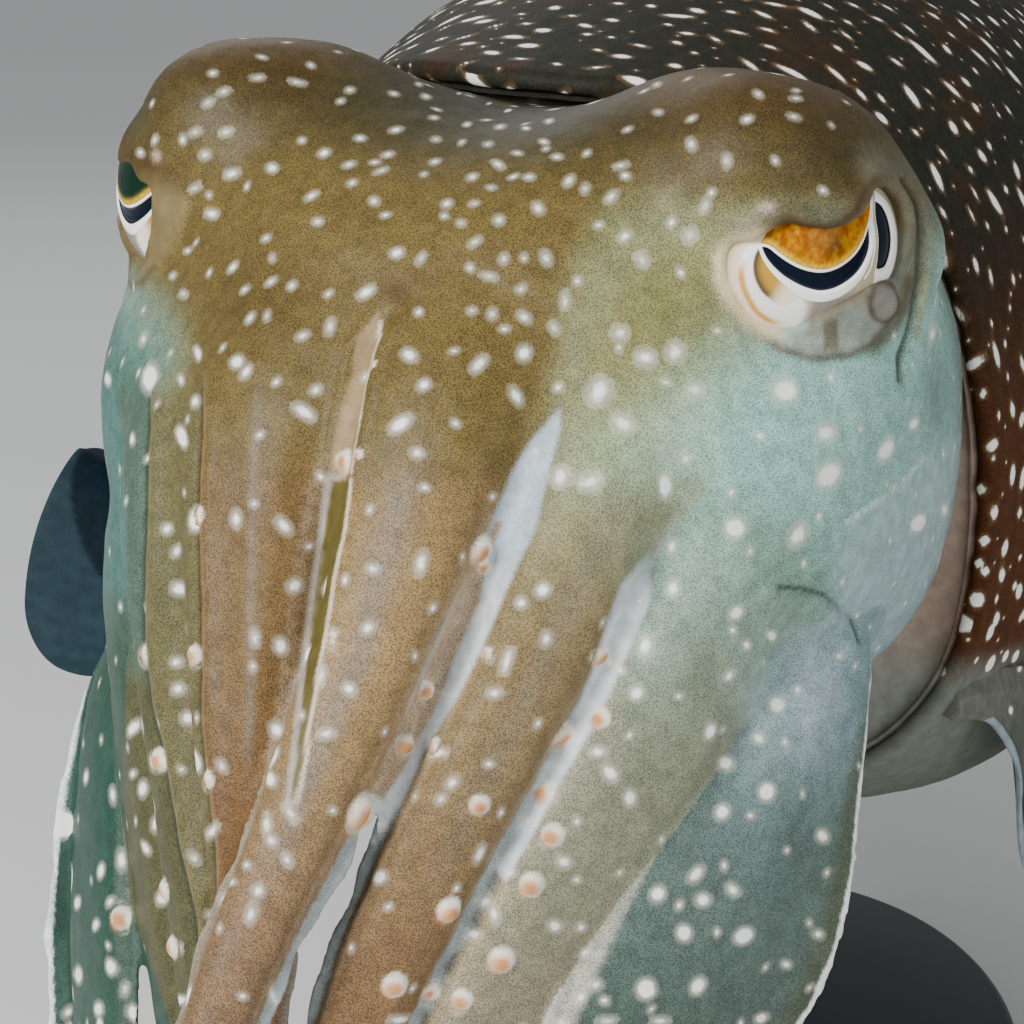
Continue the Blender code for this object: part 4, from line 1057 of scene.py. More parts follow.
# keel of the ventral arms: olive border, then a bright rim
kt = smooth(0.05, 0.16, t) * four
rim_in = smooth(0.58, 0.80, u) * kt * smooth(0.10, 0.2, t)
col = blend(col, lin(104, 108, 80), 0.7 * rim_in)
col = blend(col, lin(250, 252, 252), smooth(0.865, 0.895, u + 0.01 * noise2) * kt)
m = np.nonzero((A["k"] == 7) & (t > 0.11) & (q > 0.85) & (q < 3))[0]
foot, out_, reach, _, _ = keel_line("right_4", t[m])
far_out = ((SP[m] - foot) * out_).sum(1)
col[m] = blend(col[m], lin(88, 104, 94), np.maximum(0.8 * smooth(0.1, 0.5, far_out), 0.96 * smooth(0.80, 0.86, u[m]) * smooth(0.8, 1.4, reach)))
rim_out = np.zeros(len(SP))
rim_out[m] = smooth(0.35, 0.7, far_out) * smooth(1.25, 0.95, reach - far_out)

col = blend(col, lin(225, 222, 205), 0.5 * smooth(-0.92, -0.99, u) * kt)

stip = np.clip(1.0 - 0.12 * cool - 0.35 * between - 0.6 * oral, 0.15, 1) * (1 - smooth(0.85, 0.88, u) * kt)
stip = stip * (1 - 0.5 * smooth(20, 45, y))

# ---- marks painted where the photograph shows them
front = facing & (y < 0)


def paint(mask_value, colour, where=None, quiet=0.8):
    global col, stip
    m = np.clip(mask_value, 0, 1) * (front if where is None else where)
    col = blend(col, colour, m)
    stip = stip * (1 - quiet * m)


EDGE_R12 = [(202, 360), (202, 385), (200, 450), (196, 520), (199, 600), (199, 660), (200, 720), (205, 780), (213, 850), (216, 930), (216, 1024)]
EDGE_R23 = [(150, 360), (149, 395), (147, 450), (145, 520), (142, 600), (143, 655), (150, 705), (162, 752), (175, 833), (194, 914), (205, 1024)]
EDGE_R34 = [(120, 360), (128, 560), (128, 640), (125, 703), (123, 800), (129, 898), (155, 978), (170, 1024)]
off12, off23, off34 = (px[:, 0] - np.interp(px[:, 1], *np.array(e, float).T[::-1]) for e in (EDGE_R12, EDGE_R23, EDGE_R34))
flank = front & (x < 2) & (px[:, 0] < 300) & (px[:, 1] > 340) & (A["k"] != 0) & (A["k"] != 2)
grip = smooth(0.03, 0.30, -(SN @ Lens.d))  # marks fade out where the surface turns away from the photograph
low_down = smooth(355, 420, px[:, 1]) * grip
w12, w23, w34 = smooth(1.5, -1.5, off12), smooth(1.5, -1.5, off23), smooth(1.5, -1.5, off34)
paint(0.95 * low_down * w12 * (1 - w23), lin(130, 125, 90), flank, 0.0)
paint(0.95 * low_down * w23 * (1 - w34) * smooth(640, 700, px[:, 1]), lin(108, 108, 78), flank, 0.0)
paint(0.95 * low_down * w23 * (1 - w34) * smooth(700, 640, px[:, 1]), lin(106, 128, 114), flank, 0.1)
paint(0.9 * low_down * w34 * smooth(680, 560, px[:, 1]), lin(102, 144, 138), flank & (u < 0.9), 0.1)
paint(0.9 * low_down * w34 * smooth(560, 680, px[:, 1]), lin(66, 102, 90), flank & (u < 0.9), 0.1)
paint(0.7 * low_down * np.exp(-((off12 - 3) / 3.5) ** 2), lin(172, 148, 112), flank, 0.5)
paint(0.6 * low_down * np.exp(-((off23 - 3) / 3.0) ** 2), lin(164, 150, 112), flank, 0.5)
# painted shade: dark bands in the grooves between the right arms
paint(0.8 * low_down * np.exp(-((off12 + 2) / 2.0) ** 2), lin(84, 72, 48), flank, 0.2)
paint(0.8 * low_down * np.exp(-((off23 + 2) / 2.0) ** 2), lin(64, 78, 62), flank, 0.2)
col = blend(col, lin(236, 244, 244), rim_out)
stripe_r = px[:, 0] - np.interp(px[:, 1], [350, 460, 600, 720, 800], [262, 254, 250, 250, 246])
paint(0.7 * smooth(350, 420, px[:, 1]) * smooth(800, 720, px[:, 1]) * np.exp(-(stripe_r / 4.5) ** 2), lin(150, 138, 122), flank, 0.5)

mid_zone = front & (px[:, 0] > 250) & (px[:, 0] < 440) & (px[:, 1] > 280) & (px[:, 1] < 830)
i = np.nonzero(mid_zone)[0]
Q = px[i]
s1, s2 = np.full(len(SP), -99.0), np.full(len(SP), -99.0)
s1[i] = region(Q, SEAM_LEFT + SEAM_RIGHT)
s2[i] = region(Q, STRIP_LEFT + STRIP_RIGHT)
lineL, lineR = np.full(len(SP), 99.0), np.full(len(SP), 99.0)
lineL[i] = polyline_distance(Q, STRIP_LEFT)
lineR[i] = np.minimum(polyline_distance(Q, STRIP_RIGHT), polyline_distance(Q, SEAM_RIGHT))
paint(smooth(-1.5, 2.0, s1), lin(186, 164, 128), mid_zone)
paint(0.9 * smooth(-9, -3, s2) * smooth(12, 6, lineL), lin(196, 186, 176), mid_zone)
paint(smooth(-1.5, 1.5, s2), lin(128, 118, 66), mid_zone)
paint(0.85 * smooth(2.6, 1.2, lineR), lin(232, 220, 200), mid_zone)
top_zone = facing & (px[:, 0] > 370) & (px[:, 0] < 470) & (px[:, 1] > 15) & (px[:, 1] < 100)
i = np.nonzero(top_zone)[0]
s = np.full(len(SP), 99.0)
for line in ([(386, 34), (398, 44), (412, 60), (432, 76)], [(402, 34), (424, 52), (440, 70), (456, 82)], [(392, 50), (404, 66), (416, 78)]):
    s[i] = np.minimum(s[i], polyline_distance(px[i], line))
paint(0.75 * np.exp(-(s / 1.3) ** 2), lin(196, 196, 184), top_zone)
# painted shade: a darker olive patch over the top of the head between the brows, damping the sheen there
paint(0.6 * np.exp(-(((px[:, 0] - 510) / 115) ** 2 + ((px[:, 1] - 100) / 46) ** 2)), lin(56, 54, 36), facing, 0.0)
paint(0.35 * np.exp(-(((px[:, 0] - 255) / 60) ** 2 + ((px[:, 1] - 300) / 52) ** 2)), lin(80, 66, 36), facing, 0.0)
dark = np.exp(-(((px[:, 0] - 398) / 15) ** 2 + ((px[:, 1] - 290) / 13) ** 2))
paint(0.7 * dark, lin(86, 60, 34), quiet=0.2)
cloud = np.exp(-(((px[:, 0] - 812) / 34) ** 2 + ((px[:, 1] - 690) / 74) ** 2)) * smooth(0.86, 0.7, u) * four
paint(0.75 * cloud, lin(186, 200, 206), (A["k"] == 6), 0.2)
cloud = np.exp(-(((px[:, 0] - 745) / 26) ** 2 + ((px[:, 1] - 800) / 60) ** 2)) * smooth(0.86, 0.7, u) * four
paint(0.5 * cloud, lin(150, 172, 172), (A["k"] == 6), 0.1)
SLIVER = [(497, 520), (470, 570), (438, 640), (415, 690), (390, 745), (366, 792), (384, 800), (404, 770), (419, 740), (440, 700), (458, 650), (480, 600), (487, 560), (503, 524)]
# paler clouds on the left cheek and the roots of the left third and fourth arms
for cx, cy, rx, ry, k, tone in ((705, 560, 62, 52, 0.42, lin(196, 220, 208)), (762, 700, 24, 62, 0.55, lin(192, 216, 214)),
                                (780, 622, 42, 24, 0.40, lin(176, 198, 184)), (655, 640, 26, 60, 0.35, lin(190, 210, 196)),
                                (936, 395, 15, 48, 0.50, lin(94, 106, 100)), (930, 222, 12, 34, 0.55, lin(118, 146, 152))):
    paint(k * np.exp(-((px[:, 0] - cx) / rx) ** 2 - ((px[:, 1] - cy) / ry) ** 2), tone, facing & (x > 0) & (y < 30), 0.15)
for poly, colour in ((MEMBRANE_12, lin(204, 216, 224)), (MEMBRANE_23, lin(186, 202, 206))):
    zone = front & (px[:, 0] > 340) & (px[:, 0] < 670) & (px[:, 1] > 390) & (px[:, 1] < 900)
    i = np.nonzero(zone)[0]
    s = np.full(len(SP), -99.0)
    s[i] = region(px[i], poly)
    paint(0.9 * smooth(-4, 4, s), colour, zone)
    # painted light: the lower parts of the membranes, shaded by the arms, are painted near white
    paint(0.85 * smooth(-4, 4, s) * smooth(540, 620, px[:, 1]), lin(232, 238, 240), zone)
s = np.full(len(SP), -99.0)
i = np.nonzero(zone)[0]
s[i] = region(px[i], SLIVER)
paint(0.85 * smooth(-3, 3, s), lin(192, 164, 122), zone, 0.0)
stip = np.maximum(stip, 0.8 * smooth(-3, 3, s) * zone)

# ---- round the eye, in the pixels of the photographed one; the other eye is its mirror image
EYE_OUTLINE = [
    (740, 240), (750, 240), (757, 238.5), (765, 232), (773, 226.5), (783, 223), (792, 221.5), (802, 225), (818, 228), (830, 228), (843, 224), (856, 214), (864, 197),
    (872, 186), (883, 190), (893, 202), (899, 225), (900, 250), (896, 268), (889, 279), (878, 281), (862, 288), (846, 299), (830, 306),
    (811, 310), (803, 325), (786, 331), (766, 327), (748, 316), (734, 298), (726, 278), (725, 258), (731, 246)]
LOWER_LID = [(754, 329), (779, 349), (811, 359), (849, 355.6), (870, 344.5), (886, 325), (900, 303), (894, 283), (878, 284), (862, 291),
             (846, 302), (830, 309), (812, 313), (804, 328), (786, 334), (766, 330)]
FOLD = [(905, 179), (918, 203), (921, 226.5), (920, 252), (920, 277), (916, 301), (910, 333), (902, 356), (902, 381)]
KNUCKLE = [(882 + 14.5 * cos(k * pi / 12), 303 + 18.5 * sin(k * pi / 12)) for k in range(24)]
lift = np.zeros(len(SP))
near_eye = np.zeros(len(SP), bool)
for side in (1, -1):
    S = SP * [side, 1, 1]
    d = S - EYE
    i = np.nonzero((np.linalg.norm(d, axis=1) < 30) & (d @ eye_direction(60, 0) > -4) & (d @ (Lens.d) < 6))[0]
    Q = pixels(S[i])
    o = -region(Q, EYE_OUTLINE)  # pixels outside the opening
    up = smooth(-20, 20, 235 - Q[:, 1])
    c = col[i]
    st = stip[i]
    # pale grey-lilac round the back and below
    own = 1.0 if side > 0 else 0.08
    right = own * smooth(846, 872, Q[:, 0]) * smooth(60, 20, o) * smooth(960, 925, Q[:, 0]) * smooth(395, 340, Q[:, 1])
    c = blend(c, lin(138, 134, 112), 0.85 * right)
    low = region(Q, LOWER_LID)
    c = blend(c, lin(178, 182, 170), 0.85 * own * smooth(-6, 6, low))
    c = blend(c, lin(136, 120, 94), 0.85 * own * np.exp(-(polyline_distance(Q, [(812, 319), (838, 307), (862, 294)]) / 7.0) ** 2))
    c = blend(c, lin(110, 96, 66), 0.75 * np.exp(-(polyline_distance(Q, LOWER_LID[:7]) / 5.0) ** 2))
    bar = smooth(9, 5, np.abs(Q[:, 0] - 829)) * smooth(312, 322, Q[:, 1]) * smooth(356, 346, Q[:, 1])
    c = blend(c, lin(128, 110, 78), 0.75 * bar)
    kn = region(Q, KNUCKLE)
    c = blend(c, lin(160, 158, 150), 0.7 * smooth(-2, 3, kn))
    c = blend(c, lin(92, 70, 44), 0.80 * own * np.exp(-(polyline_distance(Q, KNUCKLE + KNUCKLE[:1]) / 2.8) ** 2))
    c = blend(c, lin(106, 92, 58), 0.75 * own * np.exp(-(polyline_distance(Q, [(908, 280), (905, 305), (893, 330), (872, 350)]) / 8.0) ** 2))
    # the pinkish white rim just outside the opening and the creamy glow beside the ring
    c = blend(c, lin(120, 96, 62), 0.8 * np.exp(-((o - 3) / 4.5) ** 2) * up)
    c = blend(c, lin(250, 236, 200), own * np.clip(np.exp(-(np.maximum(o, 0) / 10.0) ** 2) * smooth(800, 752, Q[:, 0]) * smooth(214, 236, Q[:, 1]), 0, 1))
    # painted highlight: a small pale peach patch on the left part of the upper lid
    c = blend(c, lin(225, 205, 190), 0.9 * np.exp(-(((Q[:, 0] - 768) / 8) ** 2 + ((Q[:, 1] - 209) / 6) ** 2)))
    fold = polyline_distance(Q, FOLD)
    # painted shade: a dark line along the groove of the fold behind the eye
    c = blend(c, lin(74, 62, 40), 0.85 * np.exp(-(fold / 3.2) ** 2))
    c = blend(c, lin(196, 176, 110), 0.5 * np.exp(-(np.abs(fold - 7) / 2.5) ** 2) * (Q[:, 0] > 915) * smooth(262, 285, Q[:, 1]))
    st = st * (1 - np.clip(0.35 * right + 0.45 * smooth(-6, 6, low) + 0.9 * smooth(12, 3, o), 0, 0.95))
    # dark brown toward the straight upper edge of the brow beside the eye
    c = blend(c, lin(86, 66, 38), 0.6 * smooth(30, 8, o) * up * smooth(868, 850, Q[:, 0]))
    col[i], stip[i] = c, st
    near_eye[i] = (o < 16) | (low > 0) | (right > 0.15)
    f = 0.40 * smooth(-10, 14, low) - 0.70 * np.exp(-(fold / 5.0) ** 2) + 0.30 * smooth(-3, 7, kn)
    f += (0.7 if side > 0 else 0.1) * np.exp(-((o - 9) / 9.0) ** 2) * up + 0.2 * np.exp(-((o - 4) / 6.0) ** 2) * (1 - up)
    far = np.linalg.norm(S[i] - EYE, axis=1)
    lift[i] += f * smooth(30, 24, far)

# ---- grooves between the arms where they leave the face
seam_mid = [(392, 304), (380, 325), (366, 350), (357, 385), (350, 420), (342, 460), (336, 500)]
i = np.nonzero(mid_zone)[0]
dm = polyline_distance(px[i], seam_mid) / 8.0
taper = smooth(300, 330, px[i][:, 1]) * smooth(500, 470, px[i][:, 1])
lift[i] += taper * (-0.8 * np.exp(-(dm / 0.9) ** 2) + 0.35 * np.exp(-((dm - 1.9) / 0.7) ** 2))
lift += flank * low_down * (-0.6 * np.exp(-((off12 + 2) / 5) ** 2) + 0.35 * np.exp(-((off12 - 8) / 7) ** 2)
                            - 0.6 * np.exp(-((off23 + 2) / 5) ** 2) + 0.35 * np.exp(-((off23 - 8) / 7) ** 2))
# crease where the left keeled arm leaves the cheek
CREASE = [(782, 588), (804, 590), (826, 596), (851, 618), (863, 642)]
zone = front & (px[:, 0] > 750) & (px[:, 0] < 900) & (px[:, 1] > 555) & (px[:, 1] < 680)
i = np.nonzero(zone)[0]
dc = polyline_distance(px[i], CREASE)
beyond = np.sign((px[i][:, 1] - np.interp(px[i][:, 0], [782, 804, 826, 851, 863], [588, 590, 596, 618, 642])))
lift[i] += -0.55 * np.exp(-(dc / 4.0) ** 2) + 0.5 * np.exp(-((dc - 12) / 9.0) ** 2) * (beyond > 0)
# painted shade: a dark line along the crease's groove
col[i] = blend(col[i], lin(66, 72, 58), 0.8 * np.exp(-(dc / 2.2) ** 2))
# fold of the cheek above its smooth lower lobe
CHEEK_FOLD = [(850, 520), (868, 508), (888, 494), (905, 477), (922, 455)]
zone = facing & (x > 20) & (px[:, 0] > 820) & (px[:, 0] < 985) & (px[:, 1] > 420) & (px[:, 1] < 720) & ((A["q"] > 1.3) | (A["t"] < 0.05))
i = np.nonzero(zone)[0]
dc = polyline_distance(px[i], CHEEK_FOLD)
under = np.sign((px[i] - np.array([850.0, 520.0])) @ np.array([65.0, 72.0]))
lift[i] += 0.30 * np.exp(-(dc / 5.0) ** 2) * (under > 0) - 0.28 * np.exp(-((dc - 3) / 5.0) ** 2) * (under < 0)
col[i] = blend(col[i], lin(216, 226, 222), 0.55 * np.exp(-(dc / 3.5) ** 2) * smooth(0.02, 0.30, -(SN[i] @ Lens.d)))
lobe = smooth(0, 20, (px[i] - np.array([850.0, 520.0])) @ np.array([0.67, 0.742])) * smooth(820, 850, px[i][:, 0]) * smooth(0.02, 0.34, -(SN[i] @ Lens.d))
col[i] = blend(col[i], lin(190, 208, 210), 0.52 * lobe)
stip[i] = stip[i] * (1 - 0.45 * lobe)
# fine relief of the skin
lift += 0.10 * noise6 + 0.05 * noise2

# ---- knobs
on_knob = np.zeros(len(SP), bool)
for kx, ky, kr in KNOBS:
    hit = on_skin(tree, kx, ky)
    if hit is None:
        continue
    c0, n0 = hit
    r = kr / Lens.f * ((c0 - Lens.C) @ Lens.d)
    idx = near.find(c0, r * 1.7)
    d = np.linalg.norm(SP[idx] - c0, axis=1) / r
    lift[idx] += 0.62 * r * np.sqrt(np.clip(1 - np.minimum(d, 1) ** 2, 0, 1)) ** 1.3
    col[idx] = blend(col[idx], lin(250, 244, 230), smooth(1.26, 0.88, d))
    on_knob[idx[d < 1.25]] = True
    # the pearly white rim and peach centre are the knobs' own colours; the peach is pushed toward the lower left of the
    # view, so the white crescent left at the upper right is a painted highlight
    col[idx] = blend(col[idx], lin(230, 164, 92), 0.92 * smooth(1.0, 0.25, d + 0.30 * ((SP[idx] - c0) @ (Lens.r + Lens.u)) / r))
    stip[idx] *= smooth(0.8, 1.4, d)
tick("painting")

# ---- spots
spot = np.full(len(SP), -3.0)
placed = []
for sx, sy, a, b, g in SPOTS:
    hit = on_skin(tree, sx, sy)
    if hit is None or hit[1] @ Lens.d > -0.12:
        continue
    c0, n0 = hit
    g = radians(g)
    e1 = tangent_pair(c0, n0, sx, sy, a * cos(g), -a * sin(g))
    e2 = tangent_pair(c0, n0, sx, sy, b * sin(g), b * cos(g))
    big = max(np.linalg.norm(e1), np.linalg.norm(e2))
    if big > 3.2:
        e1, e2 = e1 * 3.2 / big, e2 * 3.2 / big
    j = near.find(c0, 0.9)
    pale = len(j) > 0 and cool[j].mean() > 0.5 and is_arm[j].mean() < 0.5
    size = (0.40 if sy < 340 else 0.68) * (1.3 if pale else 1.0)
    spot_field(near, SN, spot, c0, n0, e1 * size, e2 * size, 0.42 if pale else 0.8)
    placed.append(c0)
placed = np.array(placed)
# unseen sides get the same kind of spots by chance; specks fall everywhere
seen = facing & (px[:, 0] > 0) & (px[:, 0] < 1024) & (px[:, 1] > 0) & (px[:, 1] < 1024) & (SN @ Lens.d < -0.2)
no_spots = (oral > 0.4) | (q < 0) | ((A["q"] > 1.02) & (A["t"] > 0.2) & (v < 0))
rng = np.random.default_rng(11)
space = np.where(z > 4, 5.0, np.where(four, 8.0, 7.0))
for i in scattered(SP, SN, 700, space, 3, ~seen & ~no_spots & ~near_eye):
    n0 = SN[i]
    e1 = np.cross(n0, rng.normal(size=3))
    e1 /= np.linalg.norm(e1)
    r = (0.55 + 0.75 * rng.random() ** 1.5) * (1.25 if four[i] else 1.0)
    spot_field(near, SN, spot, SP[i], n0, e1 * r * (1 + 0.5 * rng.random()), np.cross(n0, e1) * r)
for i in scattered(SP, SN, 600, np.full(len(SP), 6.0), 4, ~no_spots & ~near_eye):
    if spot[i] > -1.4:
        continue
    n0 = SN[i]
    e1 = np.cross(n0, rng.normal(size=3))
    e1 /= np.linalg.norm(e1)
    r = 0.18 + 0.12 * rng.random()
    spot_field(near, SN, spot, SP[i], n0, e1 * r * 1.3, np.cross(n0, e1) * r)
spot[on_knob] = -3.0
tick("spots")

SP = SP + SN * lift[:, None]
m = (A["k"] == 7) & (q < 1.7) & (v > 0)
SP = SP - SN * (1.7 * m * np.exp(-((t - 0.185) / 0.045) ** 2) * smooth(0.2, 0.7, v))[:, None]
for k, bulge in ((6, ([0, .08, .13, .19, .24, .29, .35, .40, .46, .6, 1], [0, -1.2, -1.8, -.7, .5, 1.7, 2.0, 1.2, -1.2, -.5, 0])),
                 ):
    m = np.nonzero((A["k"] == k) & (q < 1.7) & (u > 0))[0]
    B = arm_frame(ARM_KEYS[k], t[m])[3]
    SP[m] += B * (pchip(t[m], *bulge) * smooth(0.15, 0.95, u[m]) * smooth(1.7, 1.3, q[m]))[:, None]
set_points(skin.data, SP)
put(skin.data, "base", np.clip(col, 0, 1), "FLOAT_COLOR")
put(skin.data, "spot", spot)
put(skin.data, "stipple", stip)


# ------------------------------------------------------------------ materials
def nodes_of(m):
    m.use_nodes = True
    nt = m.node_tree
    return nt, nt.nodes["Principled BSDF"]


def plain(name, colour, rough, **more):
    m = bpy.data.materials.new(name)
    nt, b = nodes_of(m)
    b.inputs["Base Color"].default_value = (*colour, 1)
    b.inputs["Roughness"].default_value = rough
    for k, val in more.items():
        b.inputs[k.replace("_", " ")].default_value = val
    return m


class Net:
    """Short hand for a material's nodes."""

    def __init__(self, name):
        self.m = bpy.data.materials.new(name)
        self.nt, self.b = nodes_of(self.m)

    def node(self, kind, **props):
        n = self.nt.nodes.new(kind)
        for k, val in props.items():
            setattr(n, k, val)
        return n

    def link(self, a, b):
        self.nt.links.new(a, b)

    def value(self, sock, val):
        if hasattr(val, "is_linked"):
            self.link(val, sock)
        else:
            sock.default_value = val

    def attribute(self, name, out="Fac"):
        return self.node("ShaderNodeAttribute", attribute_name=name).outputs[out]

    def ramp(self, x, a, b, c=0.0, d=1.0):
        n = self.node("ShaderNodeMapRange", interpolation_type="SMOOTHSTEP")
        for k, val in enumerate((x, a, b, c, d)):
            self.value(n.inputs[k], val)
        return n.outputs[0]

    def math(self, op, a, b=0.0):
        n = self.node("ShaderNodeMath", operation=op)
        self.value(n.inputs[0], a)
        self.value(n.inputs[1], b)
        return n.outputs[0]

    def mix(self, k, a, b, how="MIX"):
        n = self.node("ShaderNodeMix", data_type="RGBA", blend_type=how)
        for sock, val in ((n.inputs[0], k), (n.inputs[6], a), (n.inputs[7], b)):
            self.value(sock, (*val, 1.0) if isinstance(val, tuple) and len(val) == 3 else val)
        return n.outputs[2]

    def place(self):
        return self.node("ShaderNodeTexCoord").outputs["Object"]

    def voronoi(self, at, scale, feature="F1", out="Distance"):
        n = self.node("ShaderNodeTexVoronoi", feature=feature)
        self.link(at, n.inputs["Vector"])
        n.inputs["Scale"].default_value = scale
        return n.outputs[out]

    def noise(self, at, scale, detail=2.0):
        n = self.node("ShaderNodeTexNoise")
        self.link(at, n.inputs["Vector"])
        n.inputs["Scale"].default_value = scale
        n.inputs["Detail"].default_value = detail
        return n.outputs[0]

    def bump(self, height, strength, distance):
        n = self.node("ShaderNodeBump")
        n.inputs["Strength"].default_value = strength
        n.inputs["Distance"].default_value = distance
        self.link(height, n.inputs["Height"])
        self.link(n.outputs[0], self.b.inputs["Normal"])


def skin_material(name, rough=0.48, dot=4800.0, spot_colour=(0.86, 0.88, 0.84), rim_colour=(0.70, 0.68, 0.56), sss=0.08, gloss=0.22):
    n = Net(name)
    at = n.place()
    base = n.attribute("base", "Color")
    st = n.attribute("stipple")
    cell = n.voronoi(at, dot)
    tone = n.ramp(cell, 0.25, 0.60, 0.42, 1.34)
    tone = n.math("ADD", 1.0, n.math("MULTIPLY", st, n.math("SUBTRACT", tone, 1.0)))
    patch = n.ramp(n.noise(at, 420.0, 3.0), 0.3, 0.7, 0.86, 1.13)
    tone = n.math("MULTIPLY", tone, patch)
    col_ = n.mix(1.0, base, n.node("ShaderNodeCombineColor").outputs[0], "MULTIPLY")
    comb = n.nt.nodes[-1]
    comb = [k for k in n.nt.nodes if k.bl_idname == "ShaderNodeCombineColor"][-1]
    for k in range(3):
        n.link(tone, comb.inputs[k])
    s_ = n.math("ADD", n.attribute("spot"), n.math("MULTIPLY", n.math("SUBTRACT", n.noise(at, 2400.0, 1.0), 0.5), 0.28))
    col_ = n.mix(n.math("MULTIPLY", n.ramp(s_, -0.75, 0.0), 0.34), col_, rim_colour)
    col_ = n.mix(n.ramp(s_, -0.16, 0.20), col_, spot_colour)
    n.link(col_, n.b.inputs["Base Color"])
    n.b.inputs["Roughness"].default_value = rough
    n.b.inputs["Specular IOR Level"].default_value = gloss
    n.b.inputs["Subsurface Weight"].default_value = sss
    n.b.inputs["Subsurface Radius"].default_value = (1.0, 0.55, 0.35)
    n.b.inputs["Subsurface Scale"].default_value = 0.0022
    h = n.math("ADD", n.math("MULTIPLY", cell, 0.4), n.noise(at, 900.0, 3.0))
    n.bump(h, 0.35, 0.00022)
    return n.m


SKIN = skin_material("skin_head_arms")
skin.data.materials.clear()
skin.data.materials.append(SKIN)

# ------------------------------------------------------------------ mantle's colours
MP, MN = get_points(mantle.data), get_normals(mantle.data)
mx, my, mz = MP.T
zw = pchip(my, M_Y, M_W)
updown = np.where(mz > zw, pchip(my, M_Y, M_T) - zw, zw - pchip(my, M_Y, M_B))
lev = np.clip((mz - zw) / np.maximum(updown, 1), -1.1, 1.1)
mth = np.arctan2(lev, mx / np.maximum(pchip(my, M_Y, M_A), 1))
behind = my - lip_y(mth)  # millimetres behind the collar's edge
n6, n2 = wobble(MP, 20.0, 3), wobble(MP, 6.0, 4)
top_tone_and_shade, dark_side, belly = lin(58, 58, 50), lin(98, 66, 40), lin(146, 150, 140)
mc = np.tile(dark_side, (len(MP), 1))
# the back is painted darker and greyer than the sides: partly its own tone, partly painted shade on the top
mc = blend(mc, top_tone_and_shade, smooth(0.2, 0.7, lev))
mc = blend(mc, lin(90, 62, 38), 0.35 * smooth(0.2, 0.9, n6))
vent = smooth(-0.30, -0.46, lev + 0.02 * n6)
mc = blend(mc, belly, vent)
outer = MN @ np.array([0, 0, 1.0])
ring = np.arange(len(MP)) * (8.0 / MANTLE_INNER)
low_grey = smooth(-0.22, -0.50, lev)
rim = smooth(12.0, 10.0, ring + 0.8 * n2) * smooth(0.66, 0.40, lev)
mc = blend(mc, lin(190, 172, 158), rim)
mc = blend(mc, lin(160, 164, 156), rim * low_grey)
inner = np.arange(len(MP)) < MANTLE_INNER
mc[inner] = blend(mc[inner], lin(204, 184, 170), smooth(0.66, 0.42, lev[inner]))
mc[inner] = blend(mc[inner], lin(182, 186, 178), low_grey[inner])
mspot = np.full(len(MP), -3.0)
mnear = Near(MP)
no = inner | (ring < 12) | (vent > 0.7)
rng = np.random.default_rng(21)
for i in scattered(MP, MN, 2000, 3.6 + 1.7 * hash01(np.round(MP[:, 0]), np.round(MP[:, 1])), 8, ~no):
    # short streaks across the back, rounder spots down the sides
    n0, high = MN[i], float(smooth(-0.15, 0.55, lev[i]))
    e1 = np.cross(n0, [0.3 * rng.normal(), 1.0, 0.3 * rng.normal()])
    e1 = e1 / max(np.linalg.norm(e1), 1e-6)
    r = (0.52 + 0.85 * rng.random() ** 1.6) * (1 - 0.34 * high)
    spot_field(mnear, MN, mspot, MP[i], n0, e1 * r * (1.1 + 2.3 * high * rng.random() ** 1.3), np.cross(n0, e1) * r)
for i in scattered(MP, MN, 160, np.full(len(MP), 3.4), 10, ~no & (lev < 0.12) & (behind < 34)):
    if mspot[i] < -0.5:
        r = 0.6 + 0.7 * rng.random()
        e1 = np.cross(MN[i], [0.0, 0.8, 0.6])
        e1 = e1 / max(np.linalg.norm(e1), 1e-6)
        spot_field(mnear, MN, mspot, MP[i], MN[i], e1 * r * 1.2, np.cross(MN[i], e1) * r)
for i in scattered(MP, MN, 1600, np.full(len(MP), 3.4), 9, ~no):
    if mspot[i] < -1.0:
        spot_field(mnear, MN, mspot, MP[i], MN[i], np.cross(MN[i], [0.3, 0.2, 0.9]) * 0.27, np.cross(MN[i], np.cross(MN[i], [0.3, 0.2, 0.9])) * 0.25)
mspot[ring < 11] = -3.0
ms = 0.5 * (1 - vent) * (1 - rim) * ~inner
ml = 0.12 * n6 + 0.06 * n2 + 0.12 * smooth(-0.5, 0.5, mspot)
set_points(mantle.data, MP + MN * ml[:, None])
put(mantle.data, "base", np.clip(mc, 0, 1), "FLOAT_COLOR")
put(mantle.data, "spot", mspot)
put(mantle.data, "stipple", ms)
mantle.data.materials.clear()
mantle.data.materials.append(skin_material("skin_mantle", rough=0.58, dot=2800.0, rim_colour=(0.26, 0.16, 0.07), gloss=0.07))
tick("mantle coloured")

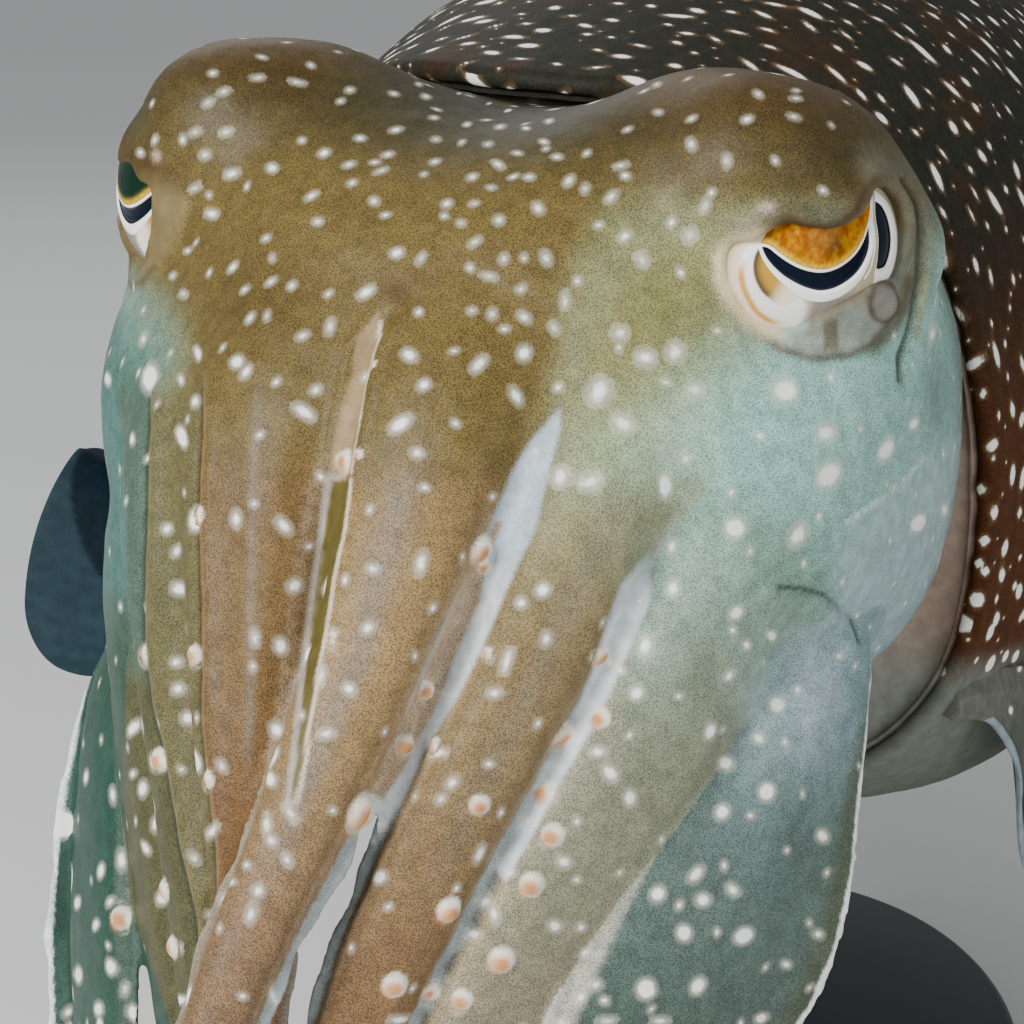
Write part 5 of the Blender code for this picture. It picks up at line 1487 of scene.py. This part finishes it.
# ------------------------------------------------------------------ fins and funnel
for s, ob in fins.items():
    P, N = get_points(ob.data), get_normals(ob.data)
    root = fin_root(P[:, 1], s)
    out = np.hypot(P[:, 0] - root[:, 0], P[:, 2] - root[:, 2])
    w = np.maximum(pchip(P[:, 1], *FIN_WIDTH[s]), 4)
    k = np.clip(out / w, 0, 1.2)
    # the right fin's colours, after each else, are much darker than the left fin's: painted shade
    c = np.tile(lin(70, 80, 90) if s > 0 else lin(30, 42, 50), (len(P), 1))
    c = blend(c, dark_side, smooth(0.40, 0.22, k) * (N[:, 2] > -0.2))
    c = blend(c, lin(78, 92, 104) if s > 0 else lin(28, 44, 54), smooth(0.45, 0.9, k))
    if s > 0:
        c = blend(c, lin(132, 136, 124), 0.9 * smooth(0.92, 0.6, k) * smooth(112, 74, P[:, 1]))
        c = blend(c, lin(140, 142, 132), smooth(66, 54, P[:, 1]) * (k < 0.985))
    c = blend(c, lin(176, 188, 196) if s > 0 else lin(60, 80, 88), smooth(0.965, 0.99, k))
    rays = np.sin(P[:, 1] * 2 * pi / 1.9 + 2.2 * np.sin(P[:, 1] * 0.31) + s)
    c = c * (1 + 0.05 * rays * smooth(0.1, 0.3, k))[:, None]
    sp = np.full(len(P), -3.0)
    nr = Near(P)
    rng = np.random.default_rng(31 + s)
    for i in scattered(P, N, 300, np.full(len(P), 3.4), 12 + s, (k < 0.36) & (N[:, 2] > 0.1)):
        r = (0.45 + 0.6 * rng.random() ** 1.6) * (1.15 - k[i])
        e1 = np.cross(N[i], rng.normal(size=3))
        e1 /= max(np.linalg.norm(e1), 1e-6)
        spot_field(nr, N, sp, P[i], N[i], e1 * r * 1.3, np.cross(N[i], e1) * r)
    put(ob.data, "base", np.clip(c, 0, 1), "FLOAT_COLOR")
    put(ob.data, "spot", sp)
    put(ob.data, "stipple", np.clip(0.25 * (1 - k), 0, 1))
    ob.data.materials.clear()
    ob.data.materials.append(FIN if s < 0 else skin_material("skin_fins", rough=0.62, dot=2600.0, rim_colour=(0.30, 0.22, 0.14), sss=0.06, gloss=0.06))
    FIN = ob.data.materials[0]
P = get_points(funnel.data)
c = np.tile(lin(158, 156, 142), (len(P), 1))
c = blend(c, lin(186, 180, 168), smooth(6, -6, P[:, 1]))
put(funnel.data, "base", c, "FLOAT_COLOR")
put(funnel.data, "spot", np.full(len(P), -3.0))
put(funnel.data, "stipple", np.full(len(P), 0.3))
funnel.data.materials.clear()
funnel.data.materials.append(SKIN)
tick("fins coloured")


# ------------------------------------------------------------------ eyes
GOLD_LOW = [(9.1, 7.4), (13.3, 6.7), (17.3, 3.9), (22.4, 0.6), (28.5, -2.3), (34.5, -3.8), (39.5, -4.0), (44.7, -2.8), (50.1, -0.2), (55.4, 3.7),
            (59.6, 8.5), (63.1, 13.9), (66.0, 18.4), (70.4, 26.0)]
PUPIL_LOW = [(9.1, 6.9), (10.9, 2.7), (14.1, -1.9), (19.0, -6.6), (25.3, -10.5), (31.7, -13.3), (38.4, -14.8), (45.1, -14.1), (51.8, -11.4), (58.6, -6.6),
             (63.2, -0.4), (65.6, 5.3), (66.0, 11.2), (66.4, 17.2)]
LOBE2_RIGHT = [(75.4, 26.4), (80.7, 23.5), (83.9, 18.8), (85.7, 12.4), (86.1, 5.1), (83.9, -1.9), (79.9, -6.8), (72.9, -7.7)]
LOBE2_LEFT = [(69.0, -6.1), (69.3, -1.0), (69.7, 4.9), (69.9, 10.9), (69.7, 16.9), (70.8, 21.1), (73.2, 25.4)]
MID_LINE = [(72.0, 27.0), (68.9, 21.2), (67.6, 17.1), (67.7, 11.1), (67.6, 5.1), (66.4, -0.7), (65.0, -5.4), (62.5, -9.0)]
WHITE_RIGHT = [(77.0, 29.7), (81.0, 27.3), (87.0, 22.1), (90.8, 14.0), (92.2, 4.0), (91.2, -3.2), (89.0, -9.0), (85.3, -12.7), (77.0, -12.3), (70.1, -13.0)]
RING_OUTER = [(9.0, 8.8), (6.3, 8.8), (2.3, 6.2), (-0.4, 1.2), (-1.6, -4.9), (-0.7, -12.3), (2.3, -19.9), (7.2, -27.4), (14.8, -32.3), (22.8, -34.0), (31.1, -32.0), (34.1, -26.5), (35.0, -21.5)]
GREY_OUTER = [(9.1, 6.4), (7.2, 1.8), (6.9, -4.2), (8.7, -10.2), (12.5, -15.7), (17.6, -19.1), (23.3, -20.3)]
DEG = EYE_R * pi / 180


def dense(points, n=40):
    P = np.concatenate([np.asarray(points, float), np.zeros((len(points), 1))], 1)
    return spline(np.linspace(0, 1, n), P)[0][:, :2]


def make_eyeball(side):
    step = 0.62
    az = np.concatenate([np.arange(-172, -20, 8), np.arange(-14, 108, step), np.arange(112, 184, 8)])
    el = np.concatenate([[-89.5, -82], np.arange(-75, -46, 6), np.arange(-42, 42, step), np.arange(46, 80, 6), [82, 89.5]])
    AZ, EL = np.meshgrid(az, el, indexing="ij")
    Q = np.stack([AZ.ravel(), EL.ravel()], 1)
    gl, pl, l2r, l2l = dense(GOLD_LOW), dense(PUPIL_LOW), dense(LOBE2_RIGHT), dense(LOBE2_LEFT)
    gold = np.concatenate([gl, [(72, 45), (16, 45), (14.5, 20), (11.5, 12)]])
    p1 = np.concatenate([gl[1:36], pl[::-1]])
    p2 = np.concatenate([l2r, l2l])
    dg, d1, d2 = region(Q, gold) * DEG, region(Q, p1) * DEG, region(Q, p2) * DEG
    d_pupil = np.maximum(d1, d2)
    # white outlines: widths in millimetres along each
    w_low = pchip(Q[:, 0], [5, 10, 18, 26, 34, 46, 56, 64, 68, 72], [0.15, 0.22, 0.38, 0.75, 1.1, 1.15, 0.95, 0.5, 0.25, 0.2])
    below = w_low - polyline_distance(Q, pl) * DEG
    line = pchip(Q[:, 0], [8, 30, 60, 70], [0.16, 0.20, 0.17, 0.14]) - polyline_distance(Q, gl) * DEG
    mid_line = 0.17 - polyline_distance(Q, dense(MID_LINE)) * DEG
    right = np.minimum(region(Q, np.concatenate([dense(WHITE_RIGHT), l2l])) * DEG, 1.0)
    d_white = np.maximum.reduce([below, line, mid_line, right])
    # ring of white and gold on the near side
    ring = np.concatenate([dense(RING_OUTER), [(24, -10), (11, 1)]])
    dr = region(Q, ring) * DEG
    grey = np.concatenate([dense(GREY_OUTER), dense(PUPIL_LOW[:6])[::-1]])
    dgrey = region(Q, grey) * DEG
    c = np.tile(lin(212, 200, 172), (len(Q), 1))
    c = blend(c, lin(238, 226, 196), smooth(-1.6, -0.2, dr))
    edge_d = polyline_distance(Q, dense(RING_OUTER)) * DEG
    c = blend(c, lin(252, 250, 244), smooth(-0.1, 0.35, dr))
    gb = np.exp(-(np.abs(edge_d - 0.85) / 0.52) ** 3) * smooth(2, -8, Q[:, 1]) * smooth(26, 14, Q[:, 0]) * (dr > 0)
    c = blend(c, lin(236, 178, 54), 0.95 * gb)
    c = blend(c, lin(246, 226, 214), 0.9 * np.exp(-((edge_d - 0.15) / 0.2) ** 2))
    go = polyline_distance(Q, dense(GREY_OUTER)) * DEG
    in_grey = smooth(-0.12, 0.15, dgrey)
    c = blend(c, lin(214, 176, 84), in_grey)
    c = blend(c, lin(120, 104, 84), np.exp(-(np.maximum(go - 0.15, 0) / 0.75) ** 2) * in_grey * smooth(-20, -14, Q[:, 1]))
    c = blend(c, lin(250, 240, 214), in_grey * smooth(14, 23, Q[:, 0] - 0.5 * (Q[:, 1] + 14)))
    below_white = smooth(-12, -20, Q[:, 1]) * smooth(30, 38, Q[:, 0])
    c = blend(c, lin(176, 170, 162), below_white)
    beyond = smooth(0.4, 1.2, -right) * smooth(80, 90, Q[:, 0])
    c = blend(c, lin(168, 168, 162), beyond)
    n1 = wobble(np.stack([Q[:, 0], Q[:, 1], 0 * Q[:, 0]], 1), 7.0, 7)
    n2_ = wobble(np.stack([Q[:, 0], Q[:, 1], 0 * Q[:, 0]], 1), 2.6, 8)
    n3 = wobble(np.stack([Q[:, 0], Q[:, 1], 0 * Q[:, 0]], 1), 3.6, 9)
    g = np.tile(lin(200, 138, 10), (len(Q), 1))
    g = blend(g, lin(170, 100, 12), 0.65 * smooth(-0.1, 0.8, n1 + 0.5 * n3))
    g = blend(g, lin(230, 180, 26), 0.5 * smooth(0.1, 0.9, -n1 - 0.5 * n3))
    g = blend(g, lin(78, 66, 10), 0.95 * np.exp(-(((Q[:, 0] - 44) / 7) ** 2 + ((Q[:, 1] - 7) / 5.5) ** 2)) * (0.8 + 0.4 * n2_))
    g = blend(g, lin(150, 104, 34), smooth(22, 12, Q[:, 0]) * 0.7)
    if side < 0:  # seen only at its near edge, where its gold is painted dark green: painted shade
        g = blend(g, lin(30, 58, 46), smooth(66, 56, Q[:, 0]))
    g = blend(g, lin(244, 206, 70), 0.7 * np.exp(-((polyline_distance(Q, gl) * DEG - 0.5) / 0.45) ** 2))
    g = blend(g, lin(196, 106, 14), 0.6 * smooth(54, 66, Q[:, 0]))
    g = g * (1 + 0.22 * n2_)[:, None]
    r = EYE_R - 0.45 * smooth(0.05, 0.6, d_pupil) + 0.10 * smooth(0.1, 0.7, dg) + 0.08 * smooth(-0.15, 0.15, d_white)
    V = eye_direction(Q[:, 0], Q[:, 1]) * r[:, None]
    na, ne = len(az), len(el)
    F = grid_faces(ne, na)  # rows of constant elevation
    V = V.reshape(na, ne, 3).transpose(1, 0, 2).reshape(-1, 3)

    def turn(a):
        a = np.asarray(a)
        return a.reshape((na, ne) + a.shape[1:]).swapaxes(0, 1).reshape((-1,) + a.shape[1:])

    m = len(V)
    V = np.concatenate([V, [(0, 0, -EYE_R), (0, 0, EYE_R)]])
    caps = []
    for j in range(0, na - 1, 2):
        caps.append((m, (j + 2) % na, j + 1, j))
        caps.append((m + 1, (ne - 1) * na + j, (ne - 1) * na + j + 1, (ne - 1) * na + (j + 2) % na))
    V = V * [side, 1, 1] + EYE * [side, 1, 1]
    ob = outward(new_object("eye_left_look" if side > 0 else "eye_right_look", V, np.concatenate([F, np.array(caps)])))

    def both(a, fill=0.0):
        a = turn(a)
        return np.concatenate([a, np.repeat(a[:1] * 0 + fill, 2, 0)])

    put(ob.data, "ring", np.clip(both(c), 0, 1), "FLOAT_COLOR")
    put(ob.data, "gold", np.clip(both(g), 0, 1), "FLOAT_COLOR")
    put(ob.data, "d_gold", both(dg, -3))
    put(ob.data, "d_white", both(d_white, -3))
    put(ob.data, "d_pupil", both(d_pupil, -3))
    return ob


def eye_material():
    n = Net("eye")
    c = n.mix(n.ramp(n.attribute("d_gold"), -0.06, 0.06), n.attribute("ring", "Color"), n.attribute("gold", "Color"))
    dp = n.attribute("d_pupil")
    c = n.mix(n.ramp(dp, -0.10, 0.02), c, (0.40, 0.13, 0.005))
    c = n.mix(n.ramp(dp, 0.04, 0.20), c, (0.0015, 0.005, 0.013))
    c = n.mix(n.ramp(n.attribute("d_white"), -0.05, 0.06), c, (0.95, 0.94, 0.90))
    # the white outlines never cover the pupil's middle
    c = n.mix(n.ramp(dp, 0.30, 0.42), c, (0.0015, 0.005, 0.013))
    n.link(c, n.b.inputs["Base Color"])
    n.b.inputs["Roughness"].default_value = 0.22
    n.b.inputs["Specular IOR Level"].default_value = 0.09
    return n.m


EYE_MAT = eye_material()
eyes = {s: make_eyeball(s) for s in (1, -1)}
for ob in eyes.values():
    ob.data.materials.append(EYE_MAT)
tick("eyes")


# ------------------------------------------------------------------ suckers
def make_suckers():
    prof = [(0.0, 0.42), (0.62, 0.40), (0.86, 0.62), (1.0, 0.50), (0.90, 0.10), (0.66, -0.25)]  # radius, height of a small cup
    ns = 8
    th = np.linspace(0, 2 * pi, ns, endpoint=False)
    unit = [np.array([[0, 0, 0.30]])]
    for r, h_ in prof[1:]:
        unit.append(np.stack([r * np.cos(th), r * np.sin(th), np.full(ns, h_)], 1))
    unit = np.concatenate(unit)
    T = [(0, 1 + (j + 1) % ns, 1 + j) for j in range(ns)][::1]
    for k in range(len(prof) - 2):
        for j in range(ns):
            a, b = 1 + k * ns + j, 1 + k * ns + (j + 1) % ns
            T += [(a, b, b + ns), (a, b + ns, a + ns)]
    T = np.array(T)[:, ::-1]
    V, F, n = [], [], 0
    for key in ARM_KEYS:
        wide = key.endswith("4")
        ts = np.linspace(0.08, 0.97, 400)
        P, Tn, N, B, w, h, L = arm_frame(key, ts)
        s_ = ts * L
        at = s_[0]
        row = 0
        while at < s_[-1]:
            i = min(int(np.searchsorted(s_, at)), 399)
            span = min(w[i], 7.5) * 0.62
            r = np.clip(0.20 * span + 0.12, 0.27, 1.05)
            for k in range(4):
                f = (k - 1.5) / 1.5
                off = 0.5 * r * (1 if (row + k) % 2 else -1)
                c = P[i] + B[i] * (f * span - (0.25 * w[i] if wide else 0)) + Tn[i] * off
                flat = 0.75 * h[i] * (1 - 0.25 * abs(f) ** 3)
                if wide:
                    flat = 0.75 * h[i] * (1 - 0.74 * smooth(-0.15, 1.0, (f * span - 0.25 * w[i]) / w[i]))
                c = c - N[i] * (flat + 0.02)
                fr = np.stack([B[i], Tn[i], -N[i]])
                V.append((unit * r) @ fr + c)
                F.append(T + n)
                n += len(unit)
            at += 2.5 * r
            row += 1
    return new_object("suckers", np.concatenate(V), np.concatenate(F))


suckers = outward(make_suckers())
suckers.data.materials.append(plain("sucker_skin", (0.62, 0.56, 0.46), 0.42, Subsurface_Weight=0.1, Subsurface_Scale=0.001))
tick(f"suckers {len(suckers.data.polygons)}")


# ------------------------------------------------------------------ stand
def ellipse_rings(profile, n=120):
    th = np.linspace(0, 2 * pi, n, endpoint=False)
    return np.array([np.stack([(BASE_A - i) * np.cos(th), (BASE_B - i) * np.sin(th) + ORIGIN[1], np.full(n, h_ + ORIGIN[2])], -1) for i, h_ in profile])


def rod(name, y0):
    th = np.linspace(0, 2 * pi, 48, endpoint=False)
    top = {"front": -109.5, "rear": -108.0}[name]
    prof = [(7.2, 10.0), (7.2, 13.2), (6.9, 13.6), (4.9, 13.8), (4.5, 14.2), (4.5, 195 + top)]
    return outward(new_object(f"stand_rod_{name}_look", *tube(np.array([np.stack([r * np.cos(th), y0 + r * np.sin(th), np.full(48, h_ + ORIGIN[2])], -1) for r, h_ in prof]))))


STEEL = plain("stand_satin", (0.025, 0.025, 0.028), 0.42, Metallic=0.4)
base = outward(new_object("stand_base_look", *tube(ellipse_rings([(1.2, 0.0), (0.0, 0.9), (0.0, 8.0), (0.35, 9.1), (1.0, 9.75), (1.9, 10.0)]))))
rods = {k: rod(k, y0) for k, y0 in ROD_Y.items()}
for ob in (base, *rods.values()):
    ob.data.materials.append(STEEL)
    ob.data.set_sharp_from_angle(angle=radians(40))

# ------------------------------------------------------------------ what stands for what
flesh = [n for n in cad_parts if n.startswith("arm_") or n.startswith("web_") or n == "head"]
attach(skin, "root"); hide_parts(*flesh)
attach(suckers, "root")
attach(mantle, "root"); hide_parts("mantle")
for s, ob in fins.items():
    ob.name = ob.data.name = "skin_fin_left" if s > 0 else "skin_fin_right"
    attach(ob, "root"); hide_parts("fin_left" if s > 0 else "fin_right")
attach(funnel, "root"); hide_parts("funnel")
for s, ob in eyes.items():
    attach(ob, "root"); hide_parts("eye_left" if s > 0 else "eye_right")
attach(base, "root"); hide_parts("stand_base")
for k, ob in rods.items():
    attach(ob, "root"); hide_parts("stand_rod_" + k)

# ------------------------------------------------------------------ floor and light
bpy.ops.mesh.primitive_plane_add(size=16, location=(0, 3, 0))
floor = bpy.context.object
floor.name = "floor"
floor.data.materials.append(plain("floor_pale", (0.78, 0.78, 0.77), 0.75))


def area(name, at, size, energy, colour=(1, 1, 1), target=(0, -0.05, 0.19)):
    L = bpy.data.lights.new(name, "AREA")
    L.shape, L.size, L.energy, L.color = "DISK", size, energy, colour
    o = bpy.data.objects.new(name, L)
    bpy.context.scene.collection.objects.link(o)
    o.location = at
    o.rotation_euler = (Vector(target) - Vector(at)).to_track_quat("-Z", "Y").to_euler()


area("key", (-0.22, -0.80, 0.62), 0.34, 11.5)
area("fill", (0.85, -0.55, 0.40), 0.6, 3.4)
area("back", (-0.6, 0.7, 0.75), 0.6, 1.6)
world = bpy.data.worlds.new("studio")
world.use_nodes = True
world.node_tree.nodes["Background"].inputs[0].default_value = (0.85, 0.88, 0.9, 1)
world.node_tree.nodes["Background"].inputs[1].default_value = 0.42
bpy.context.scene.world = world

tick("before finish")
